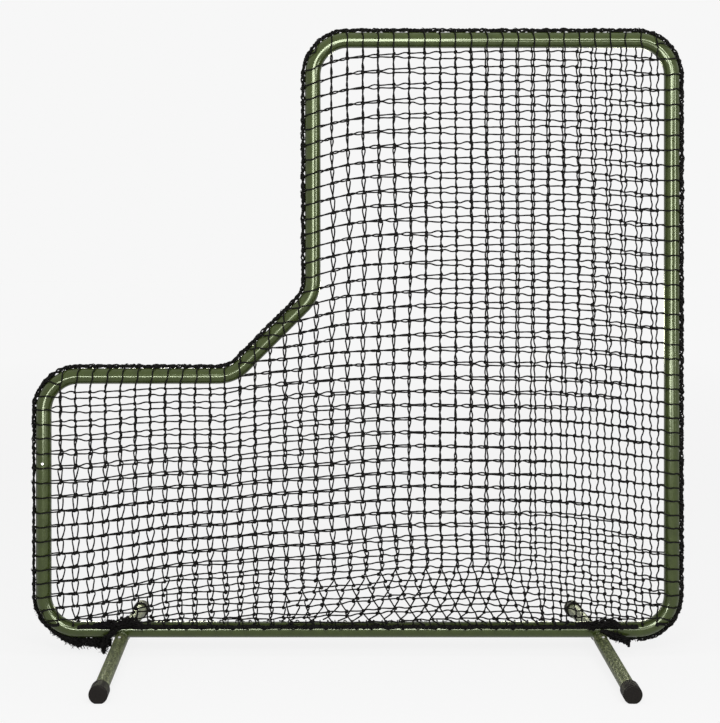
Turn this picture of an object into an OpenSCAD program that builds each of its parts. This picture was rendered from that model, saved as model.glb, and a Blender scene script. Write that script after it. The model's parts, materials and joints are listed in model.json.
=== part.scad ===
// L-shaped practice screen: a bent-tube frame in six sections with a throwing
// notch, a doubled knotted net over it, and two legs on cross tubes.
// Origin: on the floor under the middle of the frame. +Z up, the front faces -Y.

/* [Frame] */
// Width of the frame over its tubes
frame_w = 1830; // [1700:5:2150]
// Height of the frame from the underside of the rail to the top
frame_h = 1720; // [1640:5:2150]
// Width of the throwing notch
notch_w = 765; // [650:5:900]
// Height of the low part of the frame, beside the notch
low_h = 765; // [700:5:900]
// Width and height of the slanted corner, along the tube axes
slant = 228; // [150:1:260]
// Centreline radius of every bend
bend_r = 100; // [80:1:120]
// Outside diameter of the frame tube
tube_d = 44.45; // [41:0.05:48]
// Wall of the frame tube
tube_t = 1.65; // [1.2:0.05:2.1]
// Clear height under the rail
rail_clear = 49; // [46:1:70]

/* [Frame joints] */
// Height of the two lower joints above the floor
low_joint_z = 545; // [400:1:600]
// Height of the two upper joints above the floor
high_joint_z = 1210; // [1160:1:1400]
// Place of the top joint, to the right of the middle
top_joint_x = 380; // [150:1:600]
// Length of the reduced end that plugs into the next tube
plug_l = 75; // [60:1:90]
// Radial gap round a plugged end
plug_gap = 0.3; // [0.2:0.05:0.5]

/* [Snap buttons] */
// Diameter of a button
button_d = 8; // [6:0.1:9]
// How far a button stands out of the tube
button_h = 3.6; // [2.5:0.1:4.5]
// Radial gap round a button
button_gap = 0.25; // [0.15:0.05:0.4]
// Width of the collar that keeps a button in, beyond the button
collar_w = 1.4; // [1:0.1:2]
// Thickness of the collar
collar_t = 1.2; // [0.8:0.1:1.6]
// Width of a leaf spring
leaf_w = 9; // [7:0.1:10]
// Thickness of a leaf spring
leaf_t = 0.8; // [0.5:0.05:1]
// Length of a leaf spring from its button to its fold
leaf_l = 27; // [20:0.5:30]

/* [Legs] */
// Outside diameter of a leg tube
leg_d = 38.1; // [35:0.1:40]
// Wall of a leg tube and of its cross tube
leg_t = 1.65; // [1.2:0.05:2]
// How far a foot reaches from the plane of the frame
leg_reach = 533.5; // [400:0.5:650]
// Left leg, inward from the left side of the frame
left_leg_in = 246; // [180:1:300]
// Right leg, inward from the right side of the frame
right_leg_in = 229; // [180:1:300]
// Drop of the legs' crossing below the axis of the rail
hub_drop = 21; // [19:0.5:23]
// Distance of a leg tube's inner end from the plane of the frame
leg_start = 27; // [26:0.5:32]
// Reach of a cross tube from the plane of the frame
cross_reach = 112; // [105:1:140]
// Bend radius of a cross tube, under the rail
cross_bend_r = 700; // [600:10:800]
// Distance of a leg's button from the plane of the frame
leg_button_y = 74; // [66:1:78]

/* [End caps] */
// Wall of an end cap
cap_t = 5.5; // [4:0.1:7]
// Length of leg inside an end cap
cap_grip = 45; // [30:1:60]
// Radius of a cap's rounded edge
cap_round = 3.5; // [2:0.1:4]
// Depth of the flat that a cap stands on
cap_flat = 1.2; // [0.8:0.1:2]
// Radial gap between a cap and its leg
cap_gap = 0.1; // [0.05:0.01:0.2]

/* [Net] */
// Knot to knot size of the real mesh
mesh = 44.45; // [40:0.05:50]
// The layers hold every so many strands of the mesh
mesh_step = 3; // [3:1:4]
// Thickness of the net's strands
twine = 3; // [2:0.1:4]
// Width of net that lies over the tube, outward from its axis
net_over = 12; // [8:0.5:16]
// Diameter of the seam rope round the frame
seam_d = 9; // [7:0.5:12]
// Diameter of a gathered hem on the rail
hem_d = 11; // [8:0.5:12]
// Height of the hems round the rail, up from its level
hem_rise = 30; // [28:1:40]
// Diameter of the lacing cord
lace_d = 3; // [2:0.1:4]
// Radius of the gathered net under the lower left bend
left_bunch_r = 14; // [10:0.5:16]
// Radius of the gathered net under the lower right bend
right_bunch_r = 8; // [6:0.5:14]
// Gap between soft pieces or parts and what they are seated on
seat_gap = 0.3; // [0.25:0.05:0.5]

/* [Hidden] */
$fn = 64;

green = [0.36, 0.40, 0.27];
zinc = [0.72, 0.73, 0.72];
rubber = [0.10, 0.09, 0.09];
black_twine = [0.06, 0.06, 0.06];

// ---- frame, worked out from the sizes above; places are [x, z] pairs ----
tube_r = tube_d / 2;
side_x = frame_w / 2 - tube_r;
notch_x = notch_w - frame_w / 2 + tube_r;
rail_z = rail_clear + tube_r;
low_z = rail_clear + low_h - tube_r;
top_z = rail_clear + frame_h - tube_r;
plug_r = tube_r - tube_t - plug_gap;
sleeve_half = 4;
hairline = 0.1;

bottom_left = [-side_x, rail_z];
low_left = [-side_x, low_z];
slant_foot = [notch_x - slant, low_z];
slant_head = [notch_x, low_z + slant];
notch_top = [notch_x, top_z];
top_right = [side_x, top_z];
bottom_right = [side_x, rail_z];
// corners in order, clockwise from the lower left as seen from the front
corners = [bottom_left, low_left, slant_foot, slant_head, notch_top, top_right, bottom_right];

// ---- legs ----
leg_r = leg_d / 2;
cross_r = leg_r - leg_t - plug_gap;
cap_r = leg_r + cap_gap + cap_t;
hub_z = rail_z - hub_drop;
left_leg_x = left_leg_in - frame_w / 2;
right_leg_x = frame_w / 2 - right_leg_in;
// each leg slopes so that the middle of its cap is cut cap_flat deep by the floor
leg_tilt = atan((hub_z - cap_r + cap_flat) / (leg_reach - (cap_grip + cap_t) / 2));
leg_l = leg_reach / cos(leg_tilt) - cap_t;
leg_button_l = leg_button_y / cos(leg_tilt);

// ---- frame joints: [place, way the plug points, side the button faces] ----
up = [0, 1];
right = [1, 0];
front = -1;
rear = 1;
net_pitch = mesh * mesh_step;
joint_left = [[-side_x, low_joint_z], up, front];
joint_right = [[side_x, low_joint_z], up, rear];
joint_high_right = [[side_x, high_joint_z], up, rear];
joint_top = [[top_joint_x, top_z], right, rear];
joint_notch = [[notch_x, high_joint_z], up, rear];
joint_rail = [[0, rail_z], right, rear];
joints = [joint_left, joint_right, joint_high_right, joint_top, joint_notch, joint_rail];

// ---- net ----
net_y = tube_r + seat_gap;
hem_r = hem_d / 2;
hem_out = net_y + hem_r;
hem_z = rail_z + hem_out * sin(hem_rise);
net_foot_z = hem_z + hem_r + seat_gap;
button_clear = 4;
strand_keep = button_d / 2 + twine / 2 + button_clear;
// a strand that would lie on a button lies beside it
net_xs = [for (i = [1 : floor(frame_w / net_pitch)])
    aside(frame_w / 2 - i * net_pitch, [for (j = joints) j[0][0]])];
net_zs = [for (i = [1 : floor((top_z - net_foot_z) / net_pitch)])
    aside(top_z - i * net_pitch, [for (j = joints) j[0][1]])];
hem_half = side_x - bend_r;
lace_r = lace_d / 2;
lace_steps = 16;
// the cord runs straight from step to step, so its points stand off by the sag of that chord
lace_off = lace_r + seat_gap + hem_out * (1 - cos(180 / lace_steps));
lace_in = net_y + lace_off;
lace_out = hem_out + hem_r + lace_off;
lace_keep = 1.5 * leg_d;
// the lacing passes over the hems at the middle of each made mesh between the legs
lace_xs = [for (i = [floor(frame_w / net_pitch) : -1 : 1])
    let(x = frame_w / 2 - (i + 0.5) * net_pitch)
    if (x > left_leg_x + lace_keep && x < right_leg_x - lace_keep) x];
bend_steps = 6;

// ---- functions ----
function unit(v) = v / norm(v);
function sideways(v) = [-v[1], v[0]];
function turn(u, w) = atan2(u[0] * w[1] - u[1] * w[0], u * w);
function aside(p, spots) =
    let(near = [for (s = spots) if (abs(p - s) < strand_keep) s])
    len(near) == 0 ? p : near[0] + (p < near[0] ? -strand_keep : strand_keep);
// way from point i of a path to the next
function way(path, i) = unit(path[i + 1] - path[i]);
// length that the bend at inner point i takes from each straight beside it
function setback(path, i, r) = r * tan(abs(turn(way(path, i - 1), way(path, i))) / 2);
// a path moved sideways by d, to its left
function beside(path, d) = [for (i = [0 : len(path) - 1])
    let(u = sideways(way(path, max(i - 1, 0))), w = sideways(way(path, min(i, len(path) - 2))))
    path[i] + d * (u + w) / (1 + u * w)];
// radius of the bend at inner point i once the path has moved d to its left
function moved_r(path, i, d) = bend_r - sign(turn(way(path, i - 1), way(path, i))) * d;
// points of the bend at inner point i of a path, moved d to its left
function bend_points(path, i, d, steps) =
    let(u = way(path, i - 1), a = turn(u, way(path, i)), s = sign(a))
    let(c = path[i] - u * setback(path, i, bend_r) + s * bend_r * sideways(u))
    [for (k = [0 : steps]) c - s * moved_r(path, i, d) * turned(sideways(u), a * k / steps)];
function turned(v, a) = [v[0] * cos(a) - v[1] * sin(a), v[0] * sin(a) + v[1] * cos(a)];
function seam(joint) = joint[0] - joint[1] * plug_l / 2;
function past_seam(joint) = seam(joint) + joint[1] * seat_gap;

// ---- helpers ----
module ring(ro, ri) {
    difference() {
        circle(ro);
        if (ri > 0) circle(ri);
    }
}

// a straight hollow tube between two points of the XY plane
module straight_tube(from, to, ro, ri) {
    way = to - from;
    translate([from[0], from[1], 0])
        rotate([0, 0, atan2(way[1], way[0])])
            rotate([0, 90, 0]) linear_extrude(norm(way)) ring(ro, ri);
}

// a hollow tube along a path of [x, z] points, bent to radius radii[i] at inner point i;
// a short sleeve inside the wall joins each bend to the straights, a hairline from it
module bent_tube(path, radii, ro, ri) {
    last = len(path) - 1;
    inset = (ro - ri) / 4;
    function tangent(i, way) = path[i] + setback(path, i, radii[i]) * way;
    rotate([90, 0, 0]) {
        for (i = [0 : last - 1]) {
            way = way(path, i);
            from = i == 0 ? path[0] : tangent(i, way) + hairline * way;
            to = i + 1 == last ? path[last] : tangent(i + 1, -way) - hairline * way;
            straight_tube(from, to, ro, ri);
        }
        if (last > 1) for (i = [1 : last - 1]) {
            u = way(path, i - 1);
            w = way(path, i);
            a = turn(u, w);
            inward = sign(a) * sideways(u);
            centre = tangent(i, -u) + radii[i] * inward;
            start = atan2(-inward[1], -inward[0]);
            translate([centre[0], centre[1], 0])
                rotate([0, 0, min(start, start + a)])
                    rotate_extrude(angle = abs(a)) translate([radii[i], 0]) ring(ro, ri);
            for (end = [[tangent(i, -u), u], [tangent(i, w), w]])
                straight_tube(end[0] - sleeve_half * end[1], end[0] + sleeve_half * end[1],
                    ro - inset, ri > 0 ? ri + inset : 0);
        }
    }
}

// the reduced end of a tube that plugs into the next one, with the step down to it
module plug(joint) {
    way = joint[1];
    step_to = seam(joint) - way * tube_t / 2;
    rotate([90, 0, 0]) {
        straight_tube(step_to - way * tube_t, seam(joint) + way * plug_l, plug_r, plug_r - tube_t);
        straight_tube(step_to - way * 2 * tube_t, step_to, tube_r - tube_t / 2, plug_r - tube_t / 2);
    }
}

// places its children at a frame joint: +Z out through the button, +X along the tube
module at_joint(joint) {
    translate([joint[0][0], 0, joint[0][1]])
        rotate([0, -atan2(joint[1][1], joint[1][0]), 0])
            rotate([-90 * joint[2], 0, 0]) children();
}

// places its children on a leg: +X outward along its axis, +Z up
module on_leg(x, side) {
    translate([x, 0, hub_z]) rotate([0, 0, 90 * side]) rotate([0, leg_tilt, 0]) children();
}

module button_hole() {
    cylinder(h = tube_d, r = button_d / 2 + button_gap);
}

// a section of the frame: its path, its plugged ends and the buttons that pass through it
module frame_section(path, plugs, buttons) {
    color(green) difference() {
        union() {
            bent_tube(path, [for (p = path) bend_r], tube_r, tube_r - tube_t);
            for (j = plugs) plug(j);
        }
        for (j = buttons) at_joint(j) button_hole();
    }
}

// a push button with its collar; inner_r is the bore that it sits in, outer_r the tube it locks
module snap_button(inner_r, outer_r) {
    collar_r = button_d / 2 + collar_w;
    collar_z = collar_top(inner_r);
    top = outer_r + button_h;
    edge = 1;
    color(zinc) rotate_extrude() polygon([
        [0, collar_z - collar_t], [collar_r, collar_z - collar_t], [collar_r, collar_z],
        [button_d / 2, collar_z], [button_d / 2, top - edge], [button_d / 2 - edge, top], [0, top]
    ]);
}

// height of a button's collar, just clear of the curved wall over it
function collar_top(inner_r) = sqrt(pow(inner_r, 2) - pow(button_d / 2 + collar_w, 2)) - seat_gap;

// a V-shaped leaf spring from under the button to the far wall of the bore
module leaf_spring(inner_r) {
    head = button_d / 2 + collar_w;
    top = collar_top(inner_r) - collar_t - seat_gap;
    foot = -sqrt(pow(inner_r, 2) - pow(leaf_w / 2, 2)) + seat_gap;
    fold = (top + foot) / 2;
    color(zinc) rotate([90, 0, 0]) translate([0, 0, -leaf_w / 2]) linear_extrude(leaf_w) polygon([
        [head, top], [-head, top],
        [-leaf_l, fold + leaf_t], [-leaf_l - leaf_t, fold], [-leaf_l, fold - leaf_t],
        [-head, foot], [head, foot], [head, foot + leaf_t], [-head, foot + leaf_t],
        [-leaf_l + leaf_t, fold], [-head, top - leaf_t], [head, top - leaf_t]
    ]);
}

module frame_button(joint) {
    at_joint(joint) snap_button(plug_r - tube_t, tube_r);
}

module frame_spring(joint) {
    at_joint(joint) leaf_spring(plug_r - tube_t);
}

module cross_tube(x) {
    foot = [cross_reach, hub_z - cross_reach * tan(leg_tilt)];
    color(green) difference() {
        translate([x, 0, 0]) rotate([0, 0, 90])
            bent_tube([[-foot[0], foot[1]], [0, hub_z], foot], [0, cross_bend_r, 0],
                cross_r, cross_r - leg_t);
        translate([x, 0, rail_z]) rotate([0, 90, 0])
            cylinder(h = 2 * leg_d, r = tube_r + seat_gap, center = true);
        for (side = [front, rear]) on_leg(x, side) translate([leg_button_l, 0, 0]) button_hole();
    }
}

module leg(x, side) {
    color(green) on_leg(x, side) difference() {
        translate([leg_start, 0, 0]) rotate([0, 90, 0])
            linear_extrude(leg_l - leg_start) ring(leg_r, leg_r - leg_t);
        translate([leg_button_l, 0, 0]) button_hole();
    }
}

module cap(x, side) {
    cap_l = cap_grip + cap_t;
    color(rubber) difference() {
        on_leg(x, side) translate([leg_l - cap_grip, 0, 0]) rotate([0, 90, 0]) difference() {
            rotate_extrude() {
                square([cap_r - cap_round, cap_l]);
                square([cap_r, cap_l - cap_round]);
                translate([cap_r - cap_round, cap_l - cap_round]) circle(cap_round);
            }
            cylinder(h = 2 * cap_grip, r = leg_r + cap_gap, center = true);
        }
        translate([x, side * leg_reach, -cap_r]) cube([3 * cap_r, 4 * cap_l, 2 * cap_r], center = true);
    }
}

module leg_button(x, side) {
    on_leg(x, side) translate([leg_button_l, 0, 0]) snap_button(cross_r - leg_t, leg_r);
}

module leg_spring(x, side) {
    on_leg(x, side) translate([leg_button_l, 0, 0]) leaf_spring(cross_r - leg_t);
}

// outline of the net, d outside the tube axes, down to the hems
module net_outline(d) {
    loop = concat([corners[len(corners) - 1]], corners, [corners[0]]);
    intersection() {
        polygon([for (i = [1 : len(corners)]) each bend_points(loop, i, d, bend_steps)]);
        translate([-frame_w, net_foot_z]) square([2 * frame_w, 2 * frame_h]);
    }
}

module net_mesh() {
    difference() {
        net_outline(net_over);
        net_outline(net_over - twine);
    }
    intersection() {
        net_outline(net_over - twine / 2);
        union() {
            for (x = net_xs) translate([x - twine / 2, 0]) square([twine, 2 * frame_h]);
            for (z = net_zs) translate([-frame_w, z - twine / 2]) square([2 * frame_w, twine]);
            translate([-frame_w, net_foot_z]) square([2 * frame_w, twine]);
        }
    }
}

// one flat layer of the net, on the front or the rear of the tubes
module net_layer(side) {
    color(black_twine) translate([0, side < 0 ? -net_y : net_y + twine, 0])
        rotate([90, 0, 0]) linear_extrude(twine) net_mesh();
}

module net_seam() {
    d = net_y + seam_d / 2;
    foot = rail_z + bend_r;
    path = [[-side_x, foot], low_left, slant_foot, slant_head, notch_top, top_right, [side_x, foot]];
    radii = [for (i = [0 : len(path) - 1]) i % (len(path) - 1) == 0 ? 0 : moved_r(path, i, d)];
    color(black_twine) bent_tube(beside(path, d), radii, seam_d / 2, 0);
}

module net_hem(side) {
    color(black_twine) translate([-hem_half, side * hem_out * cos(hem_rise), hem_z])
        rotate([0, 90, 0]) cylinder(h = 2 * hem_half, r = hem_r);
}

// least gap between two stretches of a cord that are at least half a turn apart
function least_gap(points, r, half) = min([
    for (i = [0 : len(points) - 1], j = [i + half : 1 : len(points) - 1]) norm(points[i] - points[j])
]) - 2 * r;

// a round tube through points, with a radius and an outward way for each
module swept(points, radii, outs, sides) {
    last = len(points) - 1;
    rings = [for (i = [0 : last])
        let(t = unit(points[min(i + 1, last)] - points[max(i - 1, 0)]))
        let(n = unit(outs[i] - (outs[i] * t) * t), b = cross(t, n))
        for (k = [0 : sides - 1]) let(a = 360 * k / sides)
            points[i] + radii[i] * (cos(a) * n + sin(a) * b)];
    walls = [for (i = [0 : last - 1], k = [0 : sides - 1])
        let(a = i * sides + k, b = i * sides + (k + 1) % sides)
        each [[a, a + sides, b], [b, a + sides, b + sides]]];
    ends = [for (k = [1 : sides - 2]) each [[0, k, k + 1], [0, k + 1, k] + last * sides * [1, 1, 1]]];
    polyhedron(rings, concat(walls, ends));
}

// one cord wound round the rail and both hems; it draws in close to the rail underneath
module net_lacing() {
    turns = len(lace_xs) - 1;
    draw_in = 1.5;
    at = [for (k = [0 : turns * lace_steps])
        let(t = k / lace_steps, a = 90 + 360 * t, over = pow(1 + min(sin(a), 0), draw_in))
        let(r = lace_in + (lace_out - lace_in) * over)
        [lace_xs[0] + net_pitch * t, r * cos(a), rail_z + r * sin(a)]];
    echo(net_lacing_least_gap = least_gap(at, lace_r, lace_steps / 2));
    color(black_twine) swept(at, [for (p = at) lace_r], [for (p = at) [0, p[1], p[2] - rail_z]], 6);
}

// net gathered round the outside of a lower bend and along under the rail
module net_bunch(side, r, end_x) {
    steps = 12;
    run = 6;
    last = steps + run;
    grow = [for (k = [0 : last]) seam_d / 2 + (r - seam_d / 2) * (1 - cos(180 * k / last)) / 2];
    bend_x = side_x - bend_r;
    at = [for (k = [0 : last])
        let(a = 90 * min(k, steps) / steps, d = bend_r + net_y + seat_gap + grow[k])
        [side * (bend_x + d * cos(a) - max(k - steps, 0) / run * (bend_x - end_x)), 0,
            rail_z + bend_r - d * sin(a) - seat_gap]];
    color(black_twine) swept(at, grow, [for (p = at) [0, side, 0]], 10);
}

frame_section([seam(joint_rail), bottom_left, seam(joint_left)],  // lower_left_tube
        [joint_rail, joint_left], [joint_rail, joint_left]);
frame_section([seam(joint_right), bottom_right, past_seam(joint_rail)],  // lower_right_tube
        [joint_right], [joint_right, joint_rail]);
frame_section([past_seam(joint_left), low_left, slant_foot, slant_head, seam(joint_notch)],  // step_tube
        [joint_notch], [joint_left, joint_notch]);
frame_section([past_seam(joint_notch), notch_top, seam(joint_top)],  // upper_left_tube
        [joint_top], [joint_notch, joint_top]);
frame_section([past_seam(joint_top), top_right, past_seam(joint_high_right)],  // upper_right_tube
        [], [joint_top, joint_high_right]);
frame_section([seam(joint_high_right), past_seam(joint_right)],  // right_upright_tube
        [joint_high_right], [joint_high_right, joint_right]);

cross_tube(left_leg_x);  // left_cross_tube
cross_tube(right_leg_x);  // right_cross_tube
leg(left_leg_x, front);  // leg_front_left
leg(left_leg_x, rear);  // leg_rear_left
leg(right_leg_x, front);  // leg_front_right
leg(right_leg_x, rear);  // leg_rear_right
cap(left_leg_x, front);  // cap_front_left
cap(left_leg_x, rear);  // cap_rear_left
cap(right_leg_x, front);  // cap_front_right
cap(right_leg_x, rear);  // cap_rear_right

frame_button(joint_left);  // button_left
frame_button(joint_right);  // button_right
frame_button(joint_high_right);  // button_high_right
frame_button(joint_top);  // button_top
frame_button(joint_notch);  // button_notch
frame_button(joint_rail);  // button_rail
frame_spring(joint_left);  // spring_left
frame_spring(joint_right);  // spring_right
frame_spring(joint_high_right);  // spring_high_right
frame_spring(joint_top);  // spring_top
frame_spring(joint_notch);  // spring_notch
frame_spring(joint_rail);  // spring_rail

leg_button(left_leg_x, front);  // leg_button_front_left
leg_button(left_leg_x, rear);  // leg_button_rear_left
leg_button(right_leg_x, front);  // leg_button_front_right
leg_button(right_leg_x, rear);  // leg_button_rear_right
leg_spring(left_leg_x, front);  // leg_spring_front_left
leg_spring(left_leg_x, rear);  // leg_spring_rear_left
leg_spring(right_leg_x, front);  // leg_spring_front_right
leg_spring(right_leg_x, rear);  // leg_spring_rear_right

net_layer(front);  // net_front
net_layer(rear);  // net_rear
net_seam();
net_hem(front);  // net_hem_front
net_hem(rear);  // net_hem_rear
net_lacing();
net_bunch(-1, left_bunch_r, -left_leg_x + leg_r + left_bunch_r);  // net_bunch_left
net_bunch(1, right_bunch_r, right_leg_x + leg_r + right_bunch_r);  // net_bunch_right
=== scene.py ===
"""Looks of a practice screen: a bent-tube frame, two knotted net layers and their cords.

Every length is in metres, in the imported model's own frame: X to the right, -Y towards the
viewer, Z up, with the floor at zero.
"""

import json
import logging
import math
from dataclasses import dataclass, field
from enum import Enum
from typing import Sequence

import bpy
import numpy as np
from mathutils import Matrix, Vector


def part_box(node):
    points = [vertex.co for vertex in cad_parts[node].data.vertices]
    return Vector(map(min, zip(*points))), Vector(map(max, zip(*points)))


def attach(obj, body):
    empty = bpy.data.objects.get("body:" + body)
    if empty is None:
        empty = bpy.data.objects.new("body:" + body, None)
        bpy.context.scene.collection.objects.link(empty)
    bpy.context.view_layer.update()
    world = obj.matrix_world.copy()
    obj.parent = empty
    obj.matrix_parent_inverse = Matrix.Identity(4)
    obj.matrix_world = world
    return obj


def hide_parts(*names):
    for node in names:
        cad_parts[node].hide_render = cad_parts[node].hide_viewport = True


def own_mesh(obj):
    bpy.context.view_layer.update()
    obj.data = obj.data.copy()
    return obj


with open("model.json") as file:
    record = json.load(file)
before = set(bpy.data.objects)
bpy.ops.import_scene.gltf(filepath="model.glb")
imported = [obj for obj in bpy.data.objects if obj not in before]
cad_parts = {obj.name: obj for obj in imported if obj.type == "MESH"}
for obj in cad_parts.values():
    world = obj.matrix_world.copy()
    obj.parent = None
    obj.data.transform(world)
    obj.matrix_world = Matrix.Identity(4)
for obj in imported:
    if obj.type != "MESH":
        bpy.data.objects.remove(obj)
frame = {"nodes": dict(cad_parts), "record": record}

log = logging.getLogger("screen")
Array = np.ndarray
Table = Sequence[tuple[float, float]]
Curve = tuple[Sequence[float], Sequence[float]]
SCREEN = "screen"
TWINE_SLOT = "net_twine"
GREEN_SLOT = "frame_green"
DEPTH_WAY = np.array([0.0, 1.0, 0.0])
WHITE = (1.0, 1.0, 1.0, 1.0)
# weights of scatter's keys and the size of its sine
KEY_WEIGHTS = (12.9898, 78.233, 37.719, 4.581)
SINE_SIZE = 43758.5453
# waver's finer waves: how strong and how fast each is against the one before, and their sum
WAVE_FADE, WAVE_RATE, WAVE_SUM = 0.55, 1.9, 1.6


class Side(Enum):
    """The two layers of the net, by the way they face along Y."""

    FRONT = -1
    REAR = 1

    @property
    def word(self) -> str:
        """The layer's name in piece and node names."""
        return self.name.lower()


class Way(Enum):
    """The two ways that strands run in a layer."""

    ROW = "rows"
    COLUMN = "columns"


# ---------------------------------------------------------------- arrays and meshes


def ease(t: Array) -> Array:
    """Smooth step from 0 to 1: 3t^2 - 2t^3, with t held between 0 and 1."""
    t = np.clip(t, 0.0, 1.0)
    return t * t * (3.0 - 2.0 * t)


def rise(v: Array, start: float | Array, over: float) -> Array:
    """0 before start and a smooth step to 1 over a length, which may run backwards."""
    return ease((v - start) / over)


def ramp(v: Array, start: float, over: float) -> Array:
    """0 before start and an even slope up to 1 over a length."""
    return np.clip((v - start) / over, 0.0, 1.0)


def bell(v: Array, centre: float, width: float) -> Array:
    """A bell of height 1: exp(-((v - centre) / width)^2)."""
    return np.exp(-((v - centre) / width) ** 2)


def unit(v: Array) -> Array:
    """Vectors of length one along the last axis."""
    return v / np.maximum(np.linalg.norm(v, axis=-1, keepdims=True), 1e-12)


def scatter(*keys: Array) -> Array:
    """A repeatable number between -1 and 1 for each set of keys.

    The fraction of a large sine of a weighted sum of the keys, so the same knot always gets
    the same number.
    """
    total = sum(np.asarray(k, float) * w for k, w in zip(keys, KEY_WEIGHTS))
    raw = np.sin(total) * SINE_SIZE
    return 2.0 * (raw - np.floor(raw)) - 1.0


def share(*keys: float) -> float:
    """A repeatable number between 0 and 1 for one set of keys."""
    return 0.5 + 0.5 * float(scatter(*keys))


def waver(t: Array, seed: float, octaves: int = 3) -> Array:
    """Soft noise along a line, about -1 to 1: a sum of sines whose phases come from the seed.

    Args:
        t: positions, one unit to the longest wave.
        seed: chooses the phases.
        octaves: how many finer waves are added, each about half as strong.
    Returns:
        One value for each position.
    """
    out = np.zeros_like(t, dtype=float)
    for k in range(octaves):
        phase = math.pi * float(1.0 + scatter(seed, k + 1.0))
        out = out + WAVE_FADE ** k * np.sin(2 * math.pi * t * WAVE_RATE ** k + phase)
    return out / WAVE_SUM


def lengths(path: Array) -> Array:
    """Length along a path up to each of its points."""
    return np.concatenate([[0.0], np.cumsum(np.linalg.norm(np.diff(path, axis=0), axis=1))])


def resample(path: Array, step: float) -> Array:
    """A path of points evenly spaced by about step, by straight interpolation along it."""
    along = lengths(path)
    want = np.linspace(0, along[-1], max(3, int(round(along[-1] / step)) + 1))
    return np.stack([np.interp(want, along, path[:, k]) for k in range(path.shape[1])], -1)


def graded(table: Table, at: Array) -> Array:
    """Values at these places, by straight interpolation in a table of (place, value)."""
    return np.interp(at, [row[0] for row in table], [row[1] for row in table])


def ways_of(path: Array) -> tuple[Array, Array, Array]:
    """At each point of a path: the way along it, across it in the frame's plane, and out."""
    along = unit(np.gradient(path, axis=0))
    across = unit(np.cross(along, DEPTH_WAY))
    return along, across, np.cross(across, along)


@dataclass
class MeshParts:
    """Vertices, triangles and twine coordinates gathered for one piece."""

    points: list[Array] = field(default_factory=list)
    triangles: list[Array] = field(default_factory=list)
    lay: list[Array] = field(default_factory=list)
    count: int = 0

    def add(self, points: Array, triangles: Array, lay: Array) -> None:
        """Adds one shape.

        Args:
            points: n by 3 places.
            triangles: m by 3 indices into these points.
            lay: n by 2 coordinates, round and along the twine.
        """
        self.points.append(points)
        self.triangles.append(triangles + self.count)
        self.lay.append(lay)
        self.count += len(points)

    def build(self, name: str, slot: str = TWINE_SLOT) -> bpy.types.Object:
        """Makes the piece, smooth-shaded, with a UV map called lay, riding on the screen.

        Args:
            name: name of the piece.
            slot: not used.
        Returns:
            The object, at the origin.
        """
        points = np.concatenate(self.points).astype(np.float32)
        triangles = np.concatenate(self.triangles).astype(np.int32)
        lay = np.concatenate(self.lay).astype(np.float32)
        mesh = bpy.data.meshes.new(name)
        mesh.vertices.add(len(points))
        mesh.vertices.foreach_set("co", points.ravel())
        mesh.loops.add(triangles.size)
        mesh.loops.foreach_set("vertex_index", triangles.ravel())
        mesh.polygons.add(len(triangles))
        mesh.polygons.foreach_set("loop_start", np.arange(0, triangles.size, 3, dtype=np.int32))
        mesh.polygons.foreach_set("use_smooth", np.ones(len(triangles), dtype=bool))
        mesh.update(calc_edges=True)
        mesh.uv_layers.new(name="lay").data.foreach_set("uv", lay[triangles.ravel()].ravel())
        piece = bpy.data.objects.new(name, mesh)
        bpy.context.scene.collection.objects.link(piece)
        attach(piece, SCREEN)
        return piece


def sweep(path: Array, radius: Array, reference: Array, sides: int) -> tuple[Array, Array, Array]:
    """A round tube along a path, closed at both ends.

    Each ring is path(s) + r(s) (cos a n(s) + sin a b(s)), where n is the reference made square
    to the tangent and b is tangent x n.

    Args:
        path: n by 3 points.
        radius: one radius for each point.
        reference: one way (3) or one for each point (n by 3) that is never along the path.
        sides: number of sides.
    Returns:
        Points, triangles and (turn, length along) coordinates.
    """
    tangent = unit(np.gradient(path, axis=0))
    reference = np.broadcast_to(reference, path.shape)
    n = unit(reference - (reference * tangent).sum(1, keepdims=True) * tangent)
    b = np.cross(tangent, n)
    turn = np.arange(sides) / sides
    angle = 2 * math.pi * turn
    rings = path[:, None] + np.asarray(radius)[:, None, None] * (
        np.cos(angle)[None, :, None] * n[:, None] + np.sin(angle)[None, :, None] * b[:, None])
    along = lengths(path)
    lay = np.stack(np.broadcast_arrays(turn[None, :], along[:, None]), -1).reshape(-1, 2)
    i, k = np.meshgrid(np.arange(len(path) - 1), np.arange(sides), indexing="ij")
    a, c = i * sides + k, i * sides + (k + 1) % sides
    walls = np.concatenate([np.stack([a, c, a + sides], -1).reshape(-1, 3),
                            np.stack([c, c + sides, a + sides], -1).reshape(-1, 3)])
    fan = np.arange(1, sides - 1)
    first = np.stack([np.zeros_like(fan), fan + 1, fan], -1)
    last = np.stack([np.zeros_like(fan), fan, fan + 1], -1) + (len(path) - 1) * sides
    return rings.reshape(-1, 3), np.concatenate([walls, first, last]), lay


def knot_sizes(plain: Sequence[float], play: Sequence[float], *chance: Array) -> Array:
    """Half sizes of knots: each plain size plus its play times a number for each knot."""
    return np.stack([a + b * k for a, b, k in zip(plain, play, chance)], -1)


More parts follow.
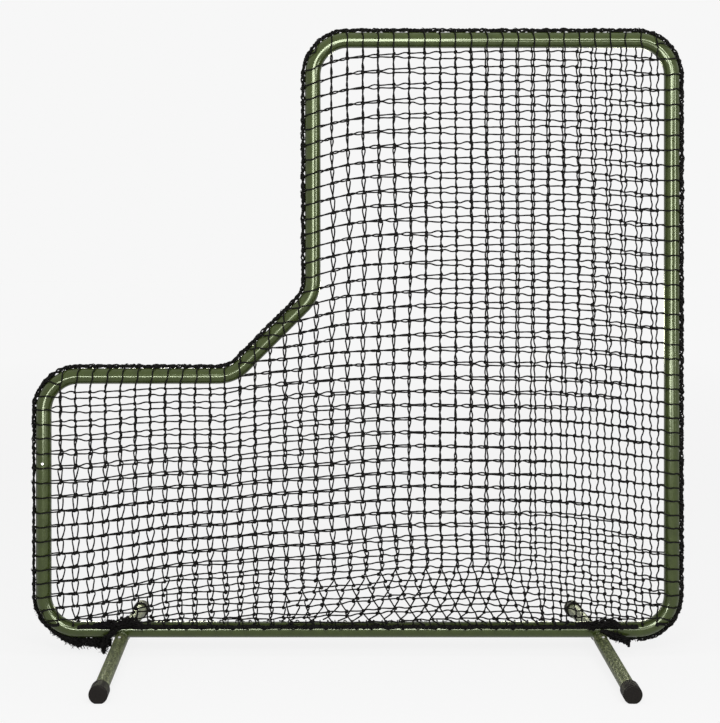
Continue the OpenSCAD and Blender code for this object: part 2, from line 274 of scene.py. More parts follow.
def knot_shells(place: Array, out: Array, up: Array, size: Array,
                rings: int = 3, around: int = 6) -> tuple[Array, Array, Array]:
    """Small lumpy ellipsoids, one for each knot.

    A point of a knot is (a d sin p cos q, b d sin p sin q, c cos p) along the knot's own three
    ways, with the dents d = 1 + 0.14 cos(3q + 2p).

    Args:
        place: n by 3 centres.
        out: n by 3 ways out of the net.
        up: n by 3 ways along the knot.
        size: n by 3 half sizes, across, outward and along.
        rings: rings of points between the two poles.
        around: points in a ring.
    Returns:
        Points, triangles and (turn, length along) coordinates.
    """
    out = unit(out)
    up = unit(up - (up * out).sum(1, keepdims=True) * out)
    across = np.cross(out, up)
    p = np.linspace(0, math.pi, rings + 2)[1:-1]
    q = 2 * math.pi * np.arange(around) / around
    pp, qq = np.meshgrid(p, q, indexing="ij")
    dent = 1 + 0.14 * np.cos(3 * qq + 2 * pp)
    shell = np.stack([np.sin(pp) * np.cos(qq) * dent, np.sin(pp) * np.sin(qq) * dent,
                      np.cos(pp)], -1).reshape(-1, 3)
    shell = np.concatenate([[[0, 0, 1.0]], shell, [[0, 0, -1.0]]])
    local = shell[None] * size[:, None]
    world = (place[:, None] + local[..., :1] * across[:, None]
             + local[..., 1:2] * out[:, None] + local[..., 2:] * up[:, None])
    k = np.arange(around)
    n = (k + 1) % around
    pole, last = np.zeros_like(k), np.full_like(k, len(shell) - 1)
    faces = [np.stack([pole, 1 + n, 1 + k], -1)]
    for ring in range(rings - 1):
        a, c = 1 + ring * around + k, 1 + ring * around + n
        faces += [np.stack([a, c, a + around], -1), np.stack([c, c + around, a + around], -1)]
    a, c = 1 + (rings - 1) * around + k, 1 + (rings - 1) * around + n
    faces.append(np.stack([a, c, last], -1))
    faces = np.concatenate(faces)[:, ::-1]
    shift = np.arange(len(place))[:, None, None] * len(shell)
    turn = np.concatenate([[0.0], (qq / (2 * math.pi)).ravel(), [0.0]])
    lay = np.stack(np.broadcast_arrays(turn[None], local[..., 2]), -1)
    return world.reshape(-1, 3), (faces[None] + shift).reshape(-1, 3), lay.reshape(-1, 2)


# ---------------------------------------------------------------- the frame's outline


@dataclass
class Outline:
    """The frame's tube axis in the XZ plane, as a loop of bends and straights."""

    tube_r: float = 0.022225
    bend_r: float = 0.100
    side_x: float = 0.892775
    notch_x: float = -0.127775
    rail_z: float = 0.071225
    low_z: float = 0.791775
    top_z: float = 1.746775
    slant: float = 0.228
    bend_steps: int = 24

    def __post_init__(self) -> None:
        """Lays out the loop, clockwise from the lower left bend."""
        s, n = self.side_x, self.notch_x
        self.loop = self._rounded(np.array([
            [-s, self.rail_z], [-s, self.low_z], [n - self.slant, self.low_z],
            [n, self.low_z + self.slant], [n, self.top_z], [s, self.top_z], [s, self.rail_z]]))

    def _rounded(self, corners: Array) -> Array:
        """The loop with each corner replaced by an arc of bend_r, tangent to both sides."""
        out = []
        for k, corner in enumerate(corners):
            u = unit(corner - corners[k - 1])
            w = unit(corners[(k + 1) % len(corners)] - corner)
            turn = math.atan2(u[0] * w[1] - u[1] * w[0], float(u @ w))
            side = np.array([-u[1], u[0]]) * math.copysign(1.0, turn)
            start = corner - u * self.bend_r * math.tan(abs(turn) / 2)
            a = np.linspace(0, abs(turn), self.bend_steps + 1)[:, None]
            out.append(start + self.bend_r * (np.sin(a) * u + (1 - np.cos(a)) * side))
        return np.concatenate(out)

    def measure(self, xz: Array) -> tuple[Array, Array]:
        """Distance inward from the tube axis, and the way inward, for points of the XZ plane.

        The nearest point of each of the loop's short sides is found by projection, the nearest
        of all is kept, and an even-odd count of crossings gives the sign.

        Args:
            xz: n by 2 places.
        Returns:
            Distances, positive inside the frame, and n by 2 ways inward.
        """
        best = np.full(len(xz), 1e9)
        foot = np.zeros_like(xz)
        inside = np.zeros(len(xz), dtype=bool)
        for p, q in zip(self.loop, np.roll(self.loop, -1, axis=0)):
            d = q - p
            t = np.clip(((xz - p) @ d) / max(float(d @ d), 1e-18), 0, 1)
            near = p + t[:, None] * d
            dist = np.linalg.norm(xz - near, axis=1)
            closer = dist < best
            best[closer], foot[closer] = dist[closer], near[closer]
            if q[1] != p[1]:
                cross = (p[1] > xz[:, 1]) != (q[1] > xz[:, 1])
                inside ^= cross & (xz[:, 0] < p[0] + (xz[:, 1] - p[1]) / (q[1] - p[1]) * d[0])
        sign = np.where(inside, 1.0, -1.0)
        return sign * best, unit(sign[:, None] * (xz - foot))

    def rim(self, distance: float) -> Array:
        """The loop moved outward, from its lower left bend to its lower right, as 3-D points.

        Args:
            distance: how far outside the tube axis.
        Returns:
            n by 3 places, at Y zero.
        """
        tangent = unit(np.gradient(self.loop, axis=0))
        moved = self.loop + distance * np.stack([-tangent[:, 1], tangent[:, 0]], -1)
        return np.stack([moved[:, 0], np.zeros(len(moved)), moved[:, 1]], -1)


# ---------------------------------------------------------------- the net


@dataclass
class Mesh:
    """Where the strands of one layer hang, by column and row number, flat before they wrap.

    Row 0 and column 0 are the lines sewn to the seam at the top and the left. Both layers
    share the seam and differ a little between, so their rows cross and drift apart. In the
    formulas rise, ramp and bell say where something begins or stands, and how wide it is.
    """

    side: Side
    # columns
    kink_column: float = 20.0
    kink_x: float = -0.0767
    pitch_left: float = 0.0425
    pitch_right: float = 0.04395
    # rows
    head_z: float = 1.7864
    head_rise: float = 0.0034
    pitch_top: float = 0.04331
    pitch_ease: float = 0.000083
    foot_z: float = 0.0885
    crush: float = 0.020
    # how far the rows hang down: beside the inner upright, under the notch, at the right, in
    # the middle and at the lower left corner
    upright_drop: float = 0.0556
    upright_most: float = 0.070
    notch_drop: float = 0.047
    right_drop: float = 0.009
    right_drop_low: float = 0.028
    sag: float = 0.0105
    corner_drop: float = 0.036
    corner_more: float = 0.0105
    corner_lift: float = 0.0095
    # small falls: against the right tube, right of the inner upright low down, in a hollow
    # right of the notch, and the lift of the left flank
    right_lip: float = 0.0028
    inner_drop: float = 0.0055
    hollow: float = 0.0045
    flank_lift: float = 0.0042
    # sideways drift of both layers: to the left everywhere, and to the right in the middle,
    # at the waist right of the inner upright and low down
    drift_left: float = 0.0033
    drift_middle: float = 0.0066
    drift_waist: float = 0.0060
    drift_low: float = 0.0095
    # how much wider the rear layer hangs, and about which point, so its knots line up behind
    spread: float = 0.0099
    centre: tuple[float, float] = (-0.1017, 1.1418)
    # how far the rows of the two layers part, by place across or by row: at the right and how
    # that fades downward, under the notch, and over the hem with the row where that begins
    part_right: Curve = (
        (-0.09, -0.03, 0.063, 0.205, 0.319, 0.461, 0.575, 0.689, 0.803, 0.876),
        (0, 0.001, 0.007, 0.016, 0.021, 0.0235, 0.0273, 0.021, 0.0108, 0))
    part_fade: Curve = ((0, 5, 8, 14, 18, 21, 23, 25, 28),
                        (1, 1, 0.88, 0.85, 0.8, 0.65, 0.4, 0.3, 0))
    part_notch: Curve = ((-0.31, -0.164, -0.022, 0.112, 0.25), (0.0176, 0.0145, 0.009, 0.003, 0))
    part_hem: Curve = (
        (-0.8, -0.68, -0.45, -0.3, -0.16, 0.0, 0.3, 0.57, 0.7, 0.8, 0.87),
        (0.0085, 0.0115, 0.0142, 0.018, 0.020, 0.018, 0.0156, 0.0193, 0.0227, 0.0165, 0))
    part_hem_row: Curve = ((-0.8, -0.68, -0.45, -0.25, -0.1, 0.0, 0.25, 0.57, 0.7, 0.8),
                           (38, 36.5, 35, 35.8, 35.2, 34.3, 33.3, 32.3, 32.2, 33.5))
    part_hem_rows: float = 4.5
    part_low: float = 0.0012
    # sideways step between the two layers' columns at the right: low, high and at mid-height
    gap_low: float = 0.0122
    gap_high: float = 0.011
    gap_waist: float = 0.0055
    # play of single strands and knots
    row_wave: float = 0.0023
    row_wave_small: float = 0.0005
    column_wave: float = 0.0040
    column_lean: float = 0.0035
    column_open: float = 0.0080
    jitter: float = 0.0010
    jitter_hem: float = 2.2
    # from this row down the columns run off sideways, by these shares of the rows and their
    # square; over the low top tube they lean
    slant_row: float = 38.0
    slant: tuple[float, float] = (0.0075, 0.0017)
    lean: float = 0.24

    def columns(self, c: Array) -> Array:
        """Place across of column c: two even pitches that meet at kink_column."""
        d = c - self.kink_column
        return self.kink_x + np.where(d < 0, self.pitch_left, self.pitch_right) * d

    def sway(self, x: Array, z: Array) -> Array:
        """Sideways drift of both layers: a little left in the lower half, right above and low."""
        middle = rise(x, -0.25, 0.25) * (1 - rise(x, 0.55, 0.25))
        waist = bell(z, 1.18, 0.20) * rise(x, -0.15, 0.05)
        low = rise(z, 0.42, -0.16) * bell(x, 0.03, 0.28)
        return (-self.drift_left + self.drift_middle * middle
                + self.drift_waist * waist * (1 - rise(x, 0.05, 0.45)) + self.drift_low * low)

    def hanging(self, x: Array, r: Array) -> Array:
        """How far row r hangs below its level at x.

        Beside the inner upright the fall is F / (1 + F / most) with F an exponential of the
        distance; under the notch a long soft exponential takes over. A power of the distance
        grows towards the right upright, the middle sags in the lower half, and the rows sweep
        down to the lower left corner after a slight lift.
        """
        low = rise(r, 17.0, 8.0)
        reach = 0.040 + 0.016 * rise(r, 1.5, 3.0)
        steep = self.upright_drop * np.exp(-np.clip(x + 0.107, -0.09, 2) / reach)
        steep = steep / (1 + steep / self.upright_most)
        soft = self.notch_drop * np.exp(-np.maximum(x + 0.38, 0) / 0.25)
        slope = self.right_drop + self.right_drop_low * rise(r, 0.0, 40.0)
        right = slope * np.maximum((x - 0.52) / 0.37, 0) ** 1.3
        right = right + self.right_lip * rise(x, 0.72, 0.1)
        middle = self.sag * (rise(r, 18.0, 8.0) * rise(x, 0.05, 0.45)
                             - rise(r, 31.0, 7.0) * bell(x, 0.36, 0.22))
        tilt = rise(r, 24.0, 14.0) * np.maximum((-0.36 - x) / 0.53, 0) ** 1.2
        corner = (self.corner_drop * tilt + self.corner_more * low * rise(x, -0.52, -0.24)
                  - self.corner_lift * rise(r, 30.0, 9.0) * bell(x, -0.42, 0.20))
        near = self.inner_drop * bell(x, -0.12, 0.13) * rise(r, 25.0, 5.0)
        near = near + self.hollow * np.exp(-((x - 0.05) / 0.09) ** 2 - ((r - 19.5) / 3.2) ** 2)
        flank = self.flank_lift * rise(x, -0.80, 0.12) * (1 - rise(x, -0.42, 0.10))
        return ((1 - low) * steep + low * soft + right + middle + corner + near
                - flank * rise(r, 23.0, 6.0))

    def parted(self, x: Array, r: Array) -> Array:
        """How far the front rows hang below the rear ones.

        It is widest to the right of the middle at the top and dies out by row 27. A second
        parting lies under the notch and along the left from row 24 to 32, and a third opens
        towards half a mesh over the hem.
        """
        fade = np.interp(r, *self.part_fade)
        fade = fade * (1 - 0.8 * rise(r, 10.0, 6.0) * rise(x, 0.28, -0.2))
        hump = bell(r, 27.3, 3.0)
        late = np.where(r > 20, 1 - rise(r, 24.2, 8.7), 0.0)
        far = rise(x, -0.30, -0.10)
        opened = rise(r, np.interp(x, *self.part_hem_row), self.part_hem_rows)
        third = self.part_low * rise(r, 28.0, 3.0) + np.interp(x, *self.part_hem) * opened
        return (np.interp(x, *self.part_right) * fade
                + np.interp(x, *self.part_notch) * ((1 - far) * hump + far * late) + third)

    def inner(self, x: Array, r: Array) -> Array:
        """0 close to the upright tubes, where both layers are sewn together, and 1 inside."""
        left = np.where(r < 18.0, -0.12, -0.885)
        return rise(x, left, 0.06) * (1 - ramp(x, 0.84, 0.035))

    def lens(self, x: Array, z: Array) -> Array:
        """How far the strands of a column spread and close between rows, from 0 to 1.

        It is full in the left half below the notch's top, less under the low top tube, and
        fades across the middle.
        """
        upper = rise(z, 1.62, -0.35) * (1 - rise(x, -0.02, 0.34)) * rise(x, -0.30, 0.12)
        lower = (0.25 + 0.75 * rise(z, 0.66, -0.16)) * (1 - rise(x, 0.02, 0.36))
        return np.maximum(upper, lower * rise(z, 0.95, -0.1))

    def right(self, x: Array) -> Array:
        """0 left of the middle of the right half, growing evenly to 1 near the right tube."""
        return ramp(x, 0.56, 0.285)

    def gap(self, x: Array, z: Array) -> Array:
        """How far the front columns stand to the right of the rear ones, at the right.

        It grows across the right third, early and much in the lower half, later above, and
        little at mid-height, where the columns first cross over.
        """
        low, high = rise(z, 0.95, -0.3), rise(z, 1.25, 0.25)
        waist = self.gap_waist * ramp(x, 0.70, 0.1) - self.gap_waist * bell(x, 0.58, 0.07)
        over = high * self.gap_high * ramp(x, 0.6, 0.2) + (1 - high) * waist
        return low * self.gap_low * ramp(x, 0.38, 0.24) + (1 - low) * over

    def flat(self, c: Array, r: Array) -> Array:
        """Flat place of mesh point (c, r), rows and columns counted in whole meshes.

        Height is head - pitch r + ease r^2, less the hanging and half the parting. The rear
        layer is spread about a centre. Below slant_row by d the front columns run off to the
        right and the rear ones to the left by a d + b d^2. Close over the hem the rows crowd:
        a height h above the foot within the crush c becomes c exp(h / c - 1). Strands over the
        low top tube lean.

        Args:
            c: columns.
            r: rows.
        Returns:
            Places (x, z) along a last axis of two.
        """
        s = float(self.side.value)
        x = self.columns(c)
        near_head = np.clip(r, 0.0, 1.0)
        z = self.head_z + self.head_rise * near_head * (1 - rise(r, 4.0, 10.0))
        z = z - self.pitch_top * r + self.pitch_ease * r * r
        inner = near_head * self.inner(x, r)
        z = z - near_head * self.hanging(x, r)
        z = z + s * 0.5 * inner * (self.parted(x, r) + self.spread * (z - self.centre[1]))
        lined = (1 - rise(x, 0.25, 0.15)) * np.maximum(1 - rise(z, 0.50, -0.12),
                                                       rise(x, -0.25, 0.1))
        step = self.gap(x, z) * near_head - self.spread * lined * inner * (x - self.centre[0])
        x = x + near_head * self.sway(x, z) - s * 0.5 * step
        d = np.maximum(r - self.slant_row, 0)
        where = rise(x, -0.28, 0.26) * (1 - rise(x, 0.36, 0.24))
        x = x - s * where * (self.slant[0] * d + self.slant[1] * d * d)
        over = np.clip(z - 0.765, -0.004, 0.07) * rise(x, -0.40, -0.10)
        x = x + self.lean * over * (z > 0.70)
        h = z - self.foot_z
        z = self.foot_z + np.where(h < self.crush, self.crush * np.exp(
            np.minimum(h / self.crush - 1, 0)), h)
        return np.stack([x, z], -1)

    def knots(self, c: Array, r: Array) -> Array:
        """Flat place of knot (c, r): the mesh point with a little play, more near the hem."""
        place = self.flat(c, r)
        loose = self.jitter * (1.0 + self.jitter_hem * rise(r, 36.0, 4.0))
        key = np.full_like(c, float(self.side.value))
        return place + loose[..., None] * np.stack(
            [scatter(c, r, key), scatter(r, c, key + 2.0)], -1)


@dataclass
class NetLayer:
    """One layer of knotted net that hangs over the tubes from the seam to the hem."""

    side: Side
    outline: Outline
    twine_r: float = 0.00205
    lie_r: float = 0.0246
    seam_r: float = 0.0285
    steps: int = 8
    sides: int = 6
    last_column: int = 44
    last_row: int = 44
    rail_row: int = 43
    belly: float = 0.008
    knot_size: tuple[float, float, float] = (0.0050, 0.0041, 0.0060)
    knot_play: tuple[float, float] = (0.13, 0.15)
    knot_lean: tuple[float, float] = (0.55, 0.4)
    # a strand lies on a tube within this many radii of its axis, and runs lengthwise where
    # less than this share of its way leads across
    on_tube: float = 1.08
    crosswise: float = 0.55
    # how far above the hem the net still counts, and how near to the frame's own plane an end
    # counts as sewn to the seam
    hem_clear: float = 0.001
    seam_near: float = 0.008
    radius_play: float = 0.10
    stray: float = 0.0007

    def __post_init__(self) -> None:
        """Sets out the mesh and the level that the layer ends at on the rail."""
        self.mesh = Mesh(self.side)
        self.foot_z = self.mesh.foot_z
        self.bend_x = self.outline.side_x - self.outline.bend_r
        self.edge = self.lie_r * math.pi / 2
        self.seam_ends: list[Array] = []

    def hang(self, flat: Array) -> Array:
        """Folds flat places over the tubes.

        Inside the tube axes a point stays on the layer's plane, which bellies out a little
        towards the middle of the lower half. Beyond an axis by e it goes round the tube:
        outward by q sin(e/r) and to y = r cos(e/r), with q the seam's distance.

        Args:
            flat: n by 2 places.
        Returns:
            n by 3 places.
        """
        s = float(self.side.value)
        d, inward = self.outline.measure(flat)
        angle = np.clip(-d, 0, self.edge) / self.lie_r
        over = np.where(d < 0, self.seam_r * np.sin(angle), 0.0)
        base = np.where((d < 0)[:, None], flat + (-d)[:, None] * inward, flat)
        xz = base - over[:, None] * inward
        height = (flat[:, 1] - self.outline.rail_z) / (self.outline.low_z - self.outline.rail_z)
        swell = self.belly * rise(d, 0.0, 0.25) * bell(height, 0.55, 0.55)
        y = s * (self.lie_r * np.cos(angle) + swell)
        return np.stack([xz[:, 0], y, xz[:, 1]], -1)

    def kept(self, flat: Array) -> Array:
        """Which flat places lie on the net: inside the seam, and above the hem or on a bend."""
        d, _ = self.outline.measure(flat)
        on_bend = np.abs(flat[:, 0]) > self.bend_x
        return (d > -self.edge) & ((flat[:, 1] > self.foot_z + self.hem_clear) | on_bend)

    def along_tube(self, flat: Array, way: Array | None = None) -> Array:
        """Which flat places lie on a tube, or run along it where a way is given.

        The net is drawn tight there, so no strand lies lengthwise on a tube and no knot either.
        """
        d, inward = self.outline.measure(flat)
        near = d < self.outline.tube_r * self.on_tube
        if way is None:
            return near
        return near & (np.abs((unit(way) * inward).sum(1)) < self.crosswise)

    def strand(self, way: Way, number: int) -> Array:
        """Flat points of one strand, knot by knot, before it is cut to the net.

        Between knots t runs from 0 to 1. A row's strand is offset by a sine of t in every
        second mesh, one way in the front layer and the other in the rear. In the lens a
        column's strand leaves each knot on its outer side and closes in before the next one,
        by c (1 - t^1.5), and elsewhere it bends by a sin(2 pi t) - b (1 - cos(2 pi t^1.6)) / 2.

        Args:
            way: rows or columns.
            number: which row or column.
        Returns:
            n by 2 places.
        """
        s = float(self.side.value)
        last = self.last_column if way is Way.ROW else self.last_row
        t = np.arange(last * self.steps + 1) / self.steps
        k = np.minimum(np.floor(t), last - 1)
        f = t - k
        other = np.full_like(k, float(number))
        if way is Way.ROW:
            a, b = self.mesh.knots(k, other), self.mesh.knots(k + 1, other)
            turned = (k + number) % 2 == 0
            calm = 0.55 * rise(a[:, 0], 0.10, -0.2) * rise(number, 28.0, 3.0)
            size = np.where(turned, self.mesh.row_wave * (1 - calm),
                            self.mesh.row_wave_small)
            size = size * (1 + 0.25 * scatter(k, other))
            wave = s * size * -np.sin(2 * math.pi * f ** 0.9)
            shift = np.stack([np.zeros_like(wave), wave], -1)
        else:
            a, b = self.mesh.knots(other, k), self.mesh.knots(other, k + 1)
            lens, right = self.mesh.lens(a[:, 0], a[:, 1]), self.mesh.right(a[:, 0])
            out = np.where(right > 0, -0.45 * np.minimum(6 * right, 1), 0.3 * (1 - lens))
            wave = out * (self.mesh.column_wave * np.sin(2 * math.pi * f)
                          - self.mesh.column_lean * (1 - np.cos(2 * math.pi * f ** 1.6)) / 2)
            wave = wave + lens * self.mesh.column_open * ease(f / 0.15) * (1 - f ** 1.5)
            wave = s * wave * (0.85 + 0.25 * scatter(other, k, k * 0 + s))
            stray = self.stray * waver(t / 1.7, number + 10 * s)
            shift = np.stack([wave + stray, np.zeros_like(wave)], -1)
        return a + (b - a) * f[:, None] + shift

    def runs(self, way: Way, number: int) -> list[Array]:
        """The stretches of one strand that lie on the net, as n by 3 places."""
        flat = self.strand(way, number)
        keep = self.kept(flat)
        if way is Way.ROW and number > self.rail_row:
            keep &= np.abs(flat[:, 0]) > self.bend_x
        corners = flat[::self.steps]
        lengthwise = self.along_tube((corners[1:] + corners[:-1]) / 2, np.diff(corners, axis=0))
        keep[:-1] &= ~np.repeat(lengthwise, self.steps)
        edges = np.flatnonzero(np.diff(np.concatenate([[False], keep, [False]]).astype(int)))
        out = []
        for start, end in zip(edges[::2], edges[1::2]):
            lo, hi = max(start - 1, 0), min(end + 1, len(flat))
            if end - start > 3:
                path = self.hang(flat[lo:hi])
                out.append(path)
                self.seam_ends += [p for p in (path[0], path[-1]) if abs(p[1]) < self.seam_near]
        return out

    def strands(self, way: Way) -> bpy.types.Object:
        """All strands of one way as one piece of thin tubes."""
        parts = MeshParts()
        count = self.last_row if way is Way.ROW else self.last_column
        reference = np.array([0.0, 0.0, 1.0]) if way is Way.ROW else np.array([1.0, 0.0, 0.0])
        for number in range(1, count):
            for path in self.runs(way, number):
                t = np.arange(len(path)) / self.steps
                radius = self.twine_r * (1 + self.radius_play * waver(t * 1.3, number + 0.37))
                parts.add(*sweep(path, radius, reference, self.sides))
        return parts.build(f"net_{self.side.word}_{way.value}")

    def knots(self) -> bpy.types.Object:
        """All knots as one piece, leaning one way and then the other."""
        c, r = np.meshgrid(np.arange(0, self.last_column), np.arange(1, self.last_row))
        c, r = c.ravel().astype(float), r.ravel().astype(float)
        flat = self.mesh.knots(c, r)
        keep = self.kept(flat) & ~self.along_tube(flat) & (r <= self.rail_row)
        c, r, flat = c[keep], r[keep], flat[keep]
        d, inward = self.outline.measure(flat)
        angle = np.clip(-d, 0, self.edge) / self.lie_r
        s = float(self.side.value)
        out = np.stack([-inward[:, 0] * np.sin(angle), s * np.cos(angle),
                        -inward[:, 1] * np.sin(angle)], -1)
        regular, random = self.knot_lean
        lean = regular * s * np.where((c + r) % 2 == 0, 1, -1) + random * scatter(c, r)
        up = np.stack([lean, np.zeros_like(lean), np.ones_like(lean)], -1)
        a, o, b = self.knot_size
        size = np.stack([a * (1 + self.knot_play[0] * scatter(c, r)), np.full_like(c, o),
                         b * (1 + self.knot_play[1] * scatter(r, c))], -1)
        parts = MeshParts()
        parts.add(*knot_shells(self.hang(flat), out, up, size))
        return parts.build(f"net_{self.side.word}_knots")

    def build(self) -> list[bpy.types.Object]:
        """Makes the layer's three pieces, which stand for its plain solid."""
        pieces = [self.strands(Way.ROW), self.strands(Way.COLUMN), self.knots()]
        for piece in pieces:
            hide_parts(f"net_{self.side.word}")
        return pieces


# ---------------------------------------------------------------- ropes and gathered net


@dataclass
class Rope:
    """Twines laid loosely round a path: a seam or a hem."""

    name: str
    path: Array
    twines: int = 3
    twine_r: float = 0.0020
    lay_r: float = 0.0028
    pitch: float = 0.038
    wave: float = 0.0010
    wave_length: float = 0.11
    turn_play: float = 1.1
    lay_play: float = 0.5
    radius_play: float = 0.12
    radius_wave: float = 0.03
    thickness: Table = ((0.0, 1.0), (1.0, 1.0))
    sides: int = 7
    step: float = 0.0055
    seed: float = 1.0

    def build(self, *replaced: str) -> bpy.types.Object:
        """Each twine is path + R(s) (cos a, sin a), a = 2 pi (s / pitch + k / twines), plus waver.

        Args:
            replaced: CAD nodes that the rope stands for.
        Returns:
            The piece.
        """
        path = resample(self.path, self.step)
        _, across, out = ways_of(path)
        s = np.arange(len(path)) * self.step
        thick = graded(self.thickness, np.linspace(0, 1, len(path)))
        parts = MeshParts()
        for k in range(self.twines):
            key = self.seed * 7.3 + k * 3.1
            turn = 2 * math.pi * (s / self.pitch + k / self.twines)
            turn = turn + self.turn_play * waver(s / self.wave_length, key + 0.5)
            play = self.lay_play * waver(s / self.wave_length * 1.7, key)
            grow = self.lay_r * thick * (1 + play)
            u = grow * np.cos(turn) + self.wave * waver(s / self.wave_length, key + 1)
            v = grow * np.sin(turn) + self.wave * waver(s / self.wave_length, key + 2)
            line = path + u[:, None] * across + v[:, None] * out
            play = self.radius_play * waver(s / self.radius_wave, key + 3)
            parts.add(*sweep(line, self.twine_r * (1 + play), across, self.sides))
        piece = parts.build(self.name)
        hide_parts(*replaced)
        return piece


@dataclass
class SeamTies:
    """Knots and stray ends where the strands of both layers meet on the seam rope."""

    ends: Array
    outline: Outline
    knot_size: tuple[float, float, float] = (0.0052, 0.0048, 0.0078)
    knot_play: tuple[float, float, float] = (0.0013, 0.0008, 0.0024)
    knot_out: float = 0.0006
    stray_every: int = 3
    whisker_l: float = 0.010
    twine_r: float = 0.0011

    def build(self) -> bpy.types.Object:
        """A lumpy knot at each strand's end, and a stray end at one in stray_every of them.

        A stray end leaves the knot outward and lies back along the seam, as half a sine wave.
        """
        ends = self.ends
        _, inward = self.outline.measure(ends[:, [0, 2]])
        out = np.stack([-inward[:, 0], np.zeros(len(ends)), -inward[:, 1]], -1)
        run = np.cross(out, DEPTH_WAY)
        key = ends[:, 0] * 31 + ends[:, 2] * 57
        size = knot_sizes(self.knot_size, self.knot_play, scatter(key), scatter(key, key),
                          scatter(key * 2))
        parts = MeshParts()
        parts.add(*knot_shells(ends + self.knot_out * out, out, run, size))
        f = np.linspace(0, 1, 7)
        for k in range(0, len(ends), self.stray_every):
            length = self.whisker_l * (0.6 + 0.4 * float(scatter(float(key[k]))))
            lean = float(scatter(float(key[k]), 3.0))
            arc = np.sin(math.pi * 0.85 * f)
            line = (ends[k] + (0.0035 + 0.38 * length * arc)[:, None] * out[k]
                    + (length * (f - 0.3) * (1 if lean > 0 else -1))[:, None] * run[k])
            line[:, 1] += 0.002 * lean * f
            parts.add(*sweep(line, self.twine_r * (1.1 - 0.5 * f), DEPTH_WAY, 5))
        return parts.build("net_seam_ties")


@dataclass
class Gather:
    """Surplus net bunched along a path: crowded twines, their knots and stray ends."""

    name: str
    path: Array
    girth: Table
    flatten: float = 0.75
    twines: int = 26
    twine_r: float = 0.0015
    knots: int = 140
    knot_size: tuple[float, float, float] = (0.0036, 0.0034, 0.0052)
    knot_play: tuple[float, float, float] = (0.0009, 0.0006, 0.0012)
    whiskers: int = 46
    whisker_l: float = 0.011
    whisker_r: float = 0.0009
    # how much a twine's angle and its share of the radius waver and over what length, and the
    # short waver of the radius that all twines share
    turn_play: tuple[float, float] = (1.6, 0.10)
    share_play: tuple[float, float] = (0.22, 0.045)
    girth_play: tuple[float, float] = (0.18, 0.012)
    # how much of the bundle a twine may miss at its start and at its end
    miss: tuple[float, float] = (0.22, 0.12)
    step: float = 0.005
    seed: float = 1.0

    def build(self, *replaced: str) -> bpy.types.Object:
        """Twines wander inside a bundle of radius R(s), knots sit on them, whiskers stand out.

        A twine keeps a share q of the radius and an angle that wavers along the bundle, so it
        is path + q R(s) (cos a(s), flatten sin a(s)), with a short waver of R that all twines
        share. A whisker is a short curl from the bundle's skin.

        Args:
            replaced: CAD nodes that it stands for.
        Returns:
            The piece.
        """
        path = resample(self.path, self.step)
        ways = ways_of(path)
        radius = graded(self.girth, np.linspace(0, 1, len(path)))
        parts = MeshParts()
        lines = self._lay(parts, path, ways, radius)
        self._tie(parts, lines)
        self._fray(parts, path, ways, radius)
        piece = parts.build(self.name)
        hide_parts(*replaced)
        return piece

    def _lay(self, parts: MeshParts, path: Array, ways: tuple[Array, Array, Array],
             radius: Array) -> list[Array]:
        """Adds the twines, some of which start late or end early, and returns their lines."""
        _, across, out = ways
        count = len(path)
        s = np.arange(count) * self.step
        lines = []
        for k in range(self.twines):
            key = self.seed * 11.7 + k * 2.3
            size, length = self.turn_play
            turn = math.pi * float(scatter(key, 2.0)) + size * waver(s / length, key, 4)
            size, length = self.share_play
            part = math.sqrt(share(key, 1.0)) + size * waver(s / length, key + 0.3)
            reach = radius * np.clip(part, 0.05, 1.05)
            size, length = self.girth_play
            reach = reach * (1 + size * waver(s / length, self.seed))
            line = (path + (reach * np.cos(turn))[:, None] * across
                    + (self.flatten * reach * np.sin(turn))[:, None] * out)
            first = int(count * self.miss[0] * share(key, 3.0) * (k % 3 == 1))
            last = count - int(count * self.miss[1] * share(key, 4.0) * (k % 2))
            line = line[first:last]
            lines.append(line)
            parts.add(*sweep(line, np.full(len(line), self.twine_r), across[first:last], 5))
        return lines

    def _tie(self, parts: MeshParts, lines: list[Array]) -> None:
        """Adds the knots, each somewhere on its twine."""
        pick = np.arange(self.knots)
        spots, runs = [], []
        for k in pick:
            line = lines[k % self.twines]
            at = int(share(k * 1.7, self.seed) * (len(line) - 2))
            spots.append(line[at])
            runs.append(line[min(at + 1, len(line) - 1)] - line[max(at - 1, 0)])
        size = knot_sizes(self.knot_size, self.knot_play,
                          *(scatter(pick, key) for key in (5.0, 6.0, 7.0)))
        facing = unit(np.stack([scatter(pick, key) for key in (8.0, 9.0, 10.0)], -1))
        parts.add(*knot_shells(np.array(spots), facing, unit(np.array(runs)), size))

    def _fray(self, parts: MeshParts, path: Array, ways: tuple[Array, Array, Array],
              radius: Array) -> None:
        """Adds the whiskers."""
        along, across, out = ways
        f = np.linspace(0, 1, 6)
        for k in range(self.whiskers):
            key = self.seed * 5.1 + k * 1.9
            at = int(share(key, 11.0) * (len(path) - 1))
            angle = math.pi * float(scatter(key, 12.0))
            leave = math.cos(angle) * across[at] + math.sin(angle) * out[at]
            curl = unit(along[at] * float(scatter(key, 13.0)) + 0.3 * out[at])
            length = self.whisker_l * (0.65 + 0.35 * float(scatter(key, 14.0)))
            root = path[at] + 0.85 * radius[at] * (
                math.cos(angle) * across[at] + self.flatten * math.sin(angle) * out[at])
            line = root + length * (f[:, None] * leave + 0.55 * (f ** 2)[:, None] * curl)
            parts.add(*sweep(line, self.whisker_r * (1.15 - 0.6 * f),
                             along[at] + 0.3 * out[at], 4))


